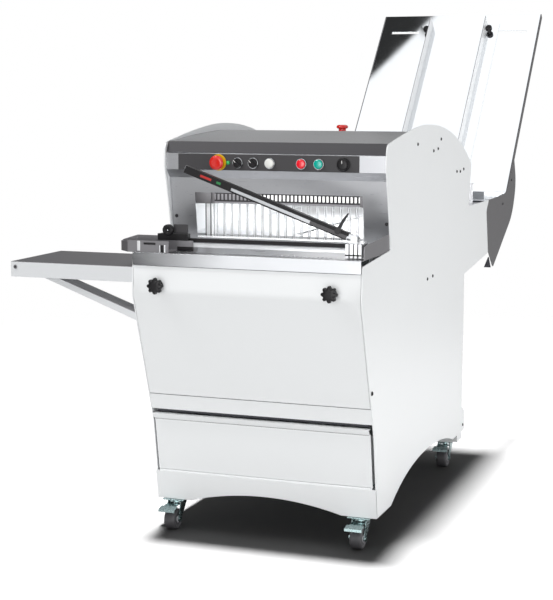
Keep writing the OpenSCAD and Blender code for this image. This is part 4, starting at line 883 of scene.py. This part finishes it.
@dataclass
class Head:
    """Head sheet, top cover and console with its controls."""

    machine: Machine
    screws: Screws
    half_in: float = 302.0
    landing_top: float = 800.0
    console: tuple[float, float, float, float] = (-267.0, 231.0, 955.0, 997.0)
    console_thick: float = 1.9
    face_y: float = 67.0
    row_z: float = 975.0
    stop_x: float = -151.96
    lamp_x: float = -124.96
    dial_x: float = 190.16
    selectors: Sequence[tuple[str, float]] = (("left", -97.68), ("right", -54.85))
    buttons: Sequence[tuple[str, float, Finish]] = (
        ("white", -9.04, WHITE_BUTTON), ("red", 77.12, RED_BUTTON), ("green", 123.93, GREEN_BUTTON))
    rear_stop_rise: float = 26.5
    strip_y: float = 71.0
    strip_z: float = 999.0
    strip_back: float = 14.0
    strip_up: float = 29.0
    strip_thick: float = 1.5
    flutes: int = 16
    flute_depth: float = 0.05
    fluted_r: tuple[float, float] = (12.0, 15.2)
    fluted_from: float = 5.5
    sheet_screws: Sequence[Point] = ((-289, 102.8, 829), (294, 102.8, 824))

    def build(self) -> None:
        """Dresses the head and makes the console's pieces."""
        self.machine.soften("head_front", BRUSHED_ACROSS, 0.7, also=[
            (WHITE_STEEL, lambda centre, normal: normal.z > LOOKS_MOSTLY and centre.z < self.landing_top)])
        self.machine.soften("top_cover", BRUSHED_ACROSS, 0.7)
        left, right, low, top = self.console
        plate = block("console_plate", (left, self.face_y, low),
                      (right, self.face_y + self.console_thick, top), 0.6)
        self.machine.ride(plate, "body", CONSOLE_COAT, ["control_panel"])
        self._strip()
        for side, x in self.selectors:
            self._bezel(f"bezel_selector_{side}", x)
        for colour, x, _ in self.buttons:
            self._bezel(f"bezel_{colour}", x)
        ring = turned("stop_ring", [(21.5, 0), (21.5, 1.8), (20.6, 3), (12.6, 3), (11.8, 2.4), (11.6, 0.2)],
                      self._spot(self.stop_x), Axis.FRONT, 64)
        self.machine.ride(ring, "body", YELLOW_PLASTIC)
        lamp = turned("ready_lamp", [(5, 0), (5, 2.4), (4.4, 3.8), (3, 4.8), (1.2, 5.2)],
                      self._spot(self.lamp_x), Axis.FRONT, 32)
        self.machine.ride(lamp, "body", LAMP_GREEN)
        self._mushroom("front", 19, 12, self._spot(self.stop_x), Axis.FRONT)
        self._mushroom("rear", 17, 15, self._rear_stop(), Axis.UP)
        for colour, x, finish in self.buttons:
            cap = turned(f"{colour}_cap", [
                (10.8, -18), (10.8, 5), (12, 5.1), (12, 7.2), (11.5, 8.5), (10.2, 9.4), (8, 10.1), (5, 10.6),
                (2, 10.8)], self._spot(x), Axis.FRONT)
            self.machine.ride(cap, f"button_{colour}", finish, [f"{colour}_button"])
        for side, x in self.selectors:
            self._selector(side, x)
        self._dial()
        self.screws.row("head_screws", "body", self.sheet_screws, Axis.FRONT)

    def _spot(self, x: float) -> Vector:
        """Gives a control's place on the console's face."""
        return at(x, self.face_y, self.row_z)

    def _rear_stop(self) -> Vector:
        """Finds the top of the rear stop's collar on the cover."""
        low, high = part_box("emergency_stop_rear")
        return Vector(((low[0] + high[0]) / 2, (low[1] + high[1]) / 2, high[2] - self.rear_stop_rise * MM))

    def _strip(self) -> None:
        """Makes the plain dark strip along the front edge of the cover."""
        pick()
        bpy.ops.mesh.primitive_cube_add(size=1)
        strip = bpy.context.object
        strip.name = strip.data.name = "cover_strip"
        lean = math.atan2(self.strip_back, self.strip_up)
        tall = math.hypot(self.strip_back, self.strip_up)
        half = self.strip_thick / 2
        strip.scale = Vector((2 * self.half_in - 1, self.strip_thick, tall)) * MM
        put(strip, (-lean, 0, 0), at(0, self.strip_y + self.strip_back / 2 - half * math.cos(lean),
                                     self.strip_z + self.strip_up / 2 + half * math.sin(lean)))
        round_edges(strip, 0.5)
        self.machine.ride(strip, "body", STRIP_COAT)

    def _bezel(self, name: str, x: float) -> None:
        """Makes one button bezel: a black ring with a chrome lip.

        Args:
            name: name of the ring.
            x: its place along the console.
        """
        ring = turned(name, [(14.8, 0), (14.8, 2.2), (14.2, 3.4), (13.2, 4.4), (12.6, 4.4), (12.5, 0.2)],
                      self._spot(x), Axis.FRONT)
        self.machine.ride(ring, "body", BLACK_PLASTIC)
        lip = turned(f"{name}_lip", [(13.9, 3.2), (13.9, 4.5), (13.5, 4.9), (12.9, 4.9), (12.6, 4.4),
                                     (12.6, 3.2)], self._spot(x), Axis.FRONT)
        self.machine.ride(lip, "body", CHROME)

    def _mushroom(self, end: str, radius: float, rise: float, place: Vector, axis: Axis) -> None:
        """Makes a stop button: a dished mushroom head on its stem.

        Args:
            end: front or rear.
            radius: radius of the head.
            rise: height of the head's underside over its seat.
            place: middle of the seat.
            axis: direction of the head.
        """
        head = turned(f"{end}_mushroom", [
            (10.8, -20), (10.8, rise - 1), (radius - 3, rise), (radius - 0.6, rise + 1.4),
            (radius, rise + 3.4), (radius, rise + 5), (radius - 0.8, rise + 7.2), (radius - 2.6, rise + 9.2),
            (radius - 5.5, rise + 10.4), (radius - 9, rise + 10.2), (3, rise + 9.6)], place, axis, 64)
        self.machine.ride(head, f"{end}_stop", RED_PLASTIC, [f"emergency_stop_{end}"])

    def _selector(self, side: str, x: float) -> None:
        """Makes a selector: a disc with a grip bar and a white pointer, turned by an eighth.

        Args:
            side: left or right.
            x: its place along the console.
        """
        disc = turned("disc", [(10.8, -18), (10.8, 3), (12, 3.1), (12, 6.4), (11.2, 7.4), (3, 7.5)],
                      Vector((0, 0, 0)))
        bar = loose_block("bar", (-3.2, -11.2, 7), (3.2, 11.2, 16), 1.4, 3)
        grip = join(f"selector_grip_{side}", [disc, bar])
        mark = loose_block(f"selector_mark_{side}", (-0.7, 2, 15.8), (0.7, 10.5, 16.3), 0.15, 1)
        turn = (Matrix.Rotation(math.pi / 2, 4, "X") @ Matrix.Rotation(math.pi / 4, 4, "Z")).to_euler()
        for piece, finish, nodes in ((grip, BLACK_PLASTIC, [f"selector_{side}"]), (mark, PRINT_WHITE, [])):
            put(piece, turn, self._spot(x))
            self.machine.ride(piece, f"{side}_selector", finish, nodes)

    def _dial(self) -> None:
        """Makes the fluted speed knob with its pointer line."""
        knob = turned("speed_dial", [
            (5, -16), (5, 0.2), (18, 0.4), (18, 3), (15.6, 4.6), (14.8, 6), (14.4, 14.6), (13.2, 16.6),
            (11, 17.3), (2, 17.3)], Vector((0, 0, 0)), Axis.UP, 96)
        pinch(knob, self._flute)
        mark = loose_block("speed_mark", (-0.8, 3, 17.2), (0.8, 11, 17.6), 0.15, 1)
        for piece, finish, nodes in ((knob, BLACK_PLASTIC, ["speed_knob"]), (mark, PRINT_WHITE, [])):
            put(piece, Axis.FRONT.value, self._spot(self.dial_x))
            self.machine.ride(piece, "dial", finish, nodes)

    def _flute(self, radius: float, height: float, angle: float) -> float:
        """Gives what the dial's flutes leave of a point's radius, as a share for pinch()."""
        on_grip = self.fluted_r[0] < radius < self.fluted_r[1] and height > self.fluted_from
        return 1 - self.flute_depth * (0.5 - 0.5 * math.cos(angle * self.flutes)) if on_grip else 1.0


@dataclass
class Slicing:
    """Blade frames, blades and their drive."""

    machine: Machine
    blades: int = 37
    pitch: float = 11.0
    holder_front: float = 165.0
    holder_z: float = 862.0
    overhang: float = 6.0
    end_wide: float = 14.0
    shield_left: float = -290.0
    shield_right: float = 211.0
    shield_wide: float = 79.0
    post_shade_edges: Sequence[tuple[str, float]] = (("outer", -231.2), ("inner", -217.0))
    post_shade_wide: float = 2.8

    def build(self) -> None:
        """Dresses the moving insides."""
        for node in ("blade_frame_front", "blade_frame_rear"):
            self.machine.soften(node, FRAME_STEEL, 0.5, 1, also=[
                (WHITE_STEEL, lambda centre, normal: normal.y < -LOOKS or abs(normal.x) > LOOKS)])
        self._clamps()
        # Painted shade: dark lines on the front frame's left post, where its side faces and the gaps beside it
        # lie in shade
        for name, x in self.post_shade_edges:
            line = block(f"post_shade_{name}", (x, 163.9, 715), (x + self.post_shade_wide, 165.4, 861), 0.5)
            self.machine.ride(line, "front_frame", DARK_STEEL)
        for node in ("blades_front", "blades_rear"):
            self.machine.soften(node, BLADE_STEEL, 0.1, 1, also=[
                (DARK_STEEL, lambda centre, normal: normal.y < -LOOKS)])
        for node in ("crankshaft", "motor_pulley", "connecting_rod_front", "connecting_rod_rear",
                     "bearing_blocks", "frame_guides"):
            self.machine.keep(node, ZINC)
        self.machine.keep("drive_belt", BLACK_RUBBER)
        self.machine.keep("motor", MOTOR_PAINT)

    def _clamps(self) -> None:
        """Dresses the front frame's upper holder: its rails, the row of blade clamps, ends and shields, with
        painted shade on the liner's left part and under the sill.
        """
        half = (self.blades - 1) / 2 * self.pitch
        wide = half + self.overhang
        y, z = self.holder_front, self.holder_z
        for name, low, high, edge_mm, segments, finish in (
                ("holder_face", (-wide, y - 0.8, z + 6), (wide, y + 0.4, z + 29), 0.3, 1, WHITE_LINER),
                # Painted shade: a dull grey over the left part of the white liner
                ("holder_face_left_shade", (-wide, y - 1.2, z + 6), (-half + 104, y - 0.4, z + 29), 0.3, 1,
                 DULL_STEEL),
                ("holder_head", (-wide, y - 2.6, z + 24.2), (wide, y + 0.4, z + 29.8), 0.5, 2, DARK_STEEL),
                # Painted shadow: a dull grey strip under the sill
                ("holder_foot_shade", (-wide, y - 1.4, z - 1.5), (wide, y + 0.4, z + 4.2), 0.4, 2, DULL_STEEL),
                ("holder_sill", (-wide, y - 2.4, z + 4.0), (wide, y + 0.4, z + 8.4), 0.6, 2, DARK_STEEL)):
            self.machine.ride(block(name, low, high, edge_mm, segments), "front_frame", finish)
        first = block("blade_clamp", (-half - 2.4, y - 2.4, z + 6), (-half + 2.4, y - 0.2, z + 29.5), 0.6, 1)
        rest = [copy_to(first, Vector((i * self.pitch * MM, 0, 0))) for i in range(1, self.blades)]
        self.machine.ride(join("blade_clamps", [first, *rest]), "front_frame", DARK_STEEL)
        for side, x, outer in (("left", -wide - self.end_wide, self.shield_left),
                               ("right", wide, self.shield_right)):
            end = block(f"holder_end_{side}", (x, y - 1.6, z - 2), (x + self.end_wide, y + 0.4, z + 29.5), 0.8)
            self.machine.ride(end, "front_frame", GREY_COAT)
            # Fixed shield on the front face of the guides
            shield = block(f"guide_shield_{side}", (outer, y - 11, z - 2),
                           (outer + self.shield_wide, y - 8.8, z + 62), 0.5)
            self.machine.ride(shield, "body", GREY_COAT)


@dataclass
class Outfeed:
    """Tray, scoop, stop rail, packing comb and press arm."""

    machine: Machine
    pivot: Point = (262.0, -60.0, 802.0)
    slope: float = 20.0
    arm_low: float = -12.0
    arm_top: float = 7.0
    arm_seam_share: float = 0.58
    arm_cap_x: float = -176.0
    scoop_front: float = -141.4
    bed_front: float = 20.0
    floor_top: float = 757.0
    end_plate_x: float = 285.0
    stop_block: Point = (-180.0, -64.0, 799.0)
    stop_pin: Point = (-230, -87, 809)

    def build(self) -> None:
        """Dresses the outfeed and adds its trim."""
        self._tray()
        self.machine.soften("bag_scoop", DULL_STEEL, 0.7)
        x, y, z = self.stop_block
        self.machine.soften("stop_rail", BLACK_PLASTIC, 0.8, also=[
            (CONSOLE_COAT, lambda centre, normal: centre.x < x and centre.z > z and centre.y > y)])
        # The black foot under the grey side plate is painted shade for the tray in shadow under the stop rail
        for name, low, high, finish in (
                ("stop_cap", (-261, -80.6, 782.6), (-178, -74, 799.4), BLACK_PLASTIC),
                ("stop_side", (-207, -80, 767), (-164, -74, 783), DULL_STEEL),
                ("stop_foot", (-207, -80.3, 757.2), (-164, -74, 767.4), BLACK_PLASTIC)):
            self.machine.ride(block(name, low, high, 0.6), "body", finish)
        pin = turned("stop_knob_pin", [(1.9, -0.5), (1.9, 1.2), (1.3, 1.8), (0.5, 2.0)], at(*self.stop_pin),
                     Axis.FRONT, 24)
        self.machine.ride(pin, "body", CHROME)
        self.machine.soften("packing_comb", COMB_BRIGHT, 0.4)
        feet = block("comb_feet", (250.6, -109.7, 763.5), (291.4, -108.7, 767), 0.3)
        self.machine.ride(feet, "comb", BLACK_PLASTIC)
        self.machine.soften("press_arm", ANODISED, 0.8, also=[
            (BLACK_PLASTIC, lambda centre, normal: centre.x < self.arm_cap_x)])
        self.machine.soften("arm_lever", DARK_STEEL, 1.0, 3)
        self._arm_trim()
        self._scoop_trim()

    def _tray(self) -> None:
        """Dresses the tray: a bright apron, a blasted bed, a dull front floor and a dull end plate."""
        self.machine.soften("outfeed_tray", BRIGHT_ROLLED, 0.7, also=[
            (BLASTED_BED, lambda centre, normal: normal.z > LOOKS_MOSTLY and centre.y > self.bed_front),
            (TRAY_FLOOR, lambda centre, normal: (normal.z > LOOKS_MOSTLY and centre.y < self.bed_front
                                                 and centre.z < self.floor_top)),
            (DULL_STEEL, lambda centre, normal: centre.x > self.end_plate_x and centre.z > self.floor_top),
        ], cuts=[((0, self.bed_front, 0), (0, 1, 0))])

    def _arm_trim(self) -> None:
        """Adds the press arm's bands and marks, given along the arm from its pivot."""
        top, low = self.arm_top, self.arm_low
        seam = low + self.arm_seam_share * (top - low)
        for name, start, end, finish in (
                ("arm_top_band", (-479, -8.5, seam), (-17, 8.3, top + 0.3), BLACK_PLASTIC),
                ("arm_end_band", (-479.6, -8.6, low + 0.2), (-345, -7.6, seam + 0.2), BLACK_PLASTIC),
                ("arm_low_edge", (-346, -8.5, low - 0.3), (-20, -7.4, low + 3.0), BLACK_PLASTIC),
                ("arm_foot_band", (-122, -8.4, low - 0.2), (-20, 8.2, seam + 0.2), SCUFFED_DARK),
                ("arm_red_mark", (-434, -8.9, low + 6.5), (-402, -8.4, low + 12.5), RED_PAINT),
                ("arm_green_mark", (-387, -8.9, low + 6.5), (-375, -8.4, low + 12.5), GREEN_PAINT)):
            piece = loose_block(name, start, end, 0.5)
            put(piece, (0, math.radians(self.slope), 0), at(*self.pivot))
            self.machine.ride(piece, "arm", finish)

    def _scoop_trim(self) -> None:
        """Adds the scoop's bright edge strip, its slot liner and its clamp."""
        y = self.scoop_front
        for name, low, high, edge_mm, finish in (
                ("scoop_strip", (-290, y - 0.9, 760), (-282, y + 0.3, 785), 0.4, COMB_BRIGHT),
                ("scoop_slot_liner", (-272, y - 0.5, 776.6), (-241, y + 2.4, 780.6), 0.4, BLACK_PLASTIC),
                ("scoop_clamp_left", (-227.5, y - 3.4, 757.2), (-225.2, y + 0.2, 776), 0.8, COMB_BRIGHT),
                ("scoop_clamp_core", (-224.8, y - 3.4, 757.2), (-217.5, y + 0.2, 776), 0.8, BLACK_PLASTIC),
                ("scoop_clamp_right", (-214.0, y - 3.4, 757.2), (-211.8, y + 0.2, 777), 0.8, COMB_BRIGHT)):
            self.machine.ride(block(name, low, high, edge_mm), "body", finish)


@dataclass
class Infeed:
    """Infeed table, pusher, chute, cheeks and guides."""

    machine: Machine
    screws: Screws
    half_out: float = 305.0
    chute_foot: Point = (0.0, 1570.0, 812.0)
    chute_rise: float = 47.4
    chute_len: float = 858.0
    squarely_up: float = 0.9
    guide_foot_high: float = 10.0
    bead_gap: float = 2.0
    bead_top: float = 2.2
    cheek_screws: Sequence[tuple[float, float]] = ((1498, 777), (1640, 850))
    tip_shade_x: tuple[float, float] = (281.0, 303.0)
    tip_shade_ridge_x: float = 295.0
    tip_shade_half_z: float = 594.0
    tip_shade_narrowing: float = 0.08

    def build(self) -> None:
        """Dresses the loading side."""
        self.machine.soften("infeed_table", BLASTED_BED, 0.6)
        self.machine.soften("loaf_pusher", BLASTED_BED, 0.6)
        self.machine.soften("chute_plate", POLISHED, 0.6, also=[
            (GREY_COAT, lambda centre, normal: abs(normal.x) > LOOKS_MOSTLY)])
        for side in ("left", "right"):
            self.machine.soften(f"chute_guide_{side}", WHITE_STEEL, 0.3, 1, also=[
                (DULL_STEEL, lambda centre, normal: self._above(centre, normal) > self.guide_foot_high),
                (POLISHED, lambda centre, normal: 0 < self._above(centre, normal) < self.guide_foot_high)])
            self.machine.soften(f"guide_knob_{side}", BLACK_PLASTIC, 1.2, 3)
        self.machine.soften("chute_cheeks", GREY_COAT, 0.8)
        for side, sign, axis in (("left", -1, Axis.LEFT), ("right", 1, Axis.RIGHT)):
            self.screws.row(f"cheek_screws_{side}", "body", [
                (sign * self.half_out, y, z) for y, z in self.cheek_screws], axis)
            self._tip_shade(side, sign)
        self._bead("chute_bead_left", -302.6, -300.4, 3, DULL_STEEL)
        self._bead("chute_bead_right", 300.6, 304.2, 18, GREY_COAT)
        seam = block("chute_seam", (-300, 1556, 775.2), (300, 1566, 779.5), 0.8)
        self.machine.ride(seam, "body", BLACK_RUBBER)

    def _above(self, centre: Vector, normal: Vector) -> float:
        """Measures how far a face that looks up from the chute lies above it.

        Args:
            centre: middle of the face in mm.
            normal: direction of the face.

        Returns:
            The distance in mm, or -1 for a face that looks elsewhere.
        """
        rise = math.radians(self.chute_rise)
        up = Vector((0, -math.sin(rise), math.cos(rise)))
        return (centre - Vector(self.chute_foot)).dot(up) if normal.dot(up) > self.squarely_up else -1.0

    def _bead(self, name: str, left: float, right: float, depth: float, finish: Finish) -> None:
        """Adds the folded bead along one edge of the chute.

        Args:
            name: piece name.
            left: its left side.
            right: its right side.
            depth: how far it reaches below the chute's face.
            finish: its finish.
        """
        piece = loose_block(name, (left, self.bead_gap, -depth),
                            (right, self.chute_len - self.bead_gap, self.bead_top), 0.5)
        put(piece, (math.radians(self.chute_rise), 0, 0), at(*self.chute_foot))
        self.machine.ride(piece, "body", finish)

    def _tip_shade(self, side: str, sign: int) -> None:
        """Adds a small black wedge inside the lower tip of a cheek, as painted shade for that dark corner: a
        block drawn to a ridge on top.

        Args:
            side: left or right.
            sign: -1 on the left, 1 on the right.
        """
        inner, outer = sorted(sign * x for x in self.tip_shade_x)
        piece = block(f"cheek_tip_shade_{side}", (inner, 1328, 577), (outer, 1336, 611), 0.4, 1)
        ridge = at(sign * self.tip_shade_ridge_x, 0, 0).x
        for vertex in piece.data.vertices:
            if vertex.co.z > self.tip_shade_half_z * MM:
                vertex.co.x = ridge + self.tip_shade_narrowing * (vertex.co.x - ridge)
        self.machine.ride(piece, "body", BLACK_RUBBER)


@dataclass
class SideTable:
    """White table on a slanted brace at the left."""

    machine: Machine
    looks_up: float = 0.35
    brace_top: float = 690.0
    cap_at: Point = (-644, -138, 704)

    def build(self) -> None:
        """Dresses the table and adds its end cap."""
        # The table's white is painted a shade greyer and its upper faces grey, paler on the brace: all painted
        # shade
        self.machine.soften("side_table", SHADED_TABLE_COAT, 0.9, also=[
            (PAINTED_SHADE_GREY, lambda centre, normal: normal.z > self.looks_up),
            (PAINTED_SHADE_PALE, lambda centre, normal: normal.z > self.looks_up and centre.z < self.brace_top)])
        cap = turned("table_cap", [(5.5, -0.3), (5.5, 1.0), (4.9, 2.0), (3.0, 2.2), (2.4, 1.0)],
                     at(*self.cap_at), Axis.FRONT, 24)
        self.machine.ride(cap, "body", DULL_STEEL)
        pin = turned("table_cap_pin", [(2.3, 0.6), (2.3, 1.4), (1.2, 1.7)], at(*self.cap_at), Axis.FRONT, 20)
        self.machine.ride(pin, "body", BLACK_PLASTIC)


@dataclass
class Castors:
    """Four braked swivel castors."""

    machine: Machine
    corners: Sequence[tuple[str, float, float]] = (
        ("front_left", -258, 22), ("front_right", 258, 22), ("rear_left", -258, 922),
        ("rear_right", 258, 922))
    trail: float = 30.0
    wheel_r: float = 28.0
    half_wide: float = 16.0

    def build(self) -> None:
        """Dresses each castor and builds its wheel from a tyre and a hub."""
        for corner, x, y in self.corners:
            self.machine.soften(f"castor_fork_{corner}", ZINC, 0.5)
            self.machine.soften(f"brake_pedal_{corner}", ZINC, 0.5)
            centre = at(x - self.half_wide, y - self.trail, self.wheel_r)
            tyre = turned(f"tyre_{corner}", [
                (19.5, 1.0), (21, 0.2), (24, 0.2), (26.4, 1.6), (27.7, 4.6), (28, 9), (28, 23), (27.7, 27.4),
                (26.4, 30.4), (24, 31.8), (21, 31.8), (19.5, 31)], centre, Axis.RIGHT, 64)
            self.machine.ride(tyre, f"wheel_{corner}", TREAD_RUBBER, [f"castor_wheel_{corner}"])
            hub = turned(f"hub_{corner}", [
                (5.2, -0.5), (9.6, -0.5), (10.2, 0.6), (11, 2.6), (17.6, 2.9), (19.7, 0.8), (19.7, 31.2),
                (17.6, 29.1), (11, 29.4), (10.2, 31.4), (9.6, 32.5), (5.2, 32.5)], centre, Axis.RIGHT, 48)
            self.machine.ride(hub, f"wheel_{corner}", HUB_PLASTIC)


def main() -> None:
    """Builds the scene in order and reports each piece."""
    logging.basicConfig(level=logging.INFO, format="%(name)s: %(message)s")
    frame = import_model()
    machine = Machine(frame)
    screws = Screws(machine)
    studio = Studio()
    studio.build()
    for part in (Cabinet(machine, screws), Head(machine, screws), Slicing(machine), Outfeed(machine),
                 Infeed(machine, screws), SideTable(machine), Castors(machine)):
        part.build()
        log.info("%s done", type(part).__name__)
    studio.shade_floor(("side_panel_left_finished", "side_panel_right_finished", "front_panels_finished",
                        "front_door_finished", "crumb_drawer_finished", "top_cover_finished",
                        "outfeed_tray_finished"))
    for name in machine.made:
        log.info("piece %s", name)
    log.info("%d pieces dressed", len(machine.made))


if __name__ == "__main__":
    main()
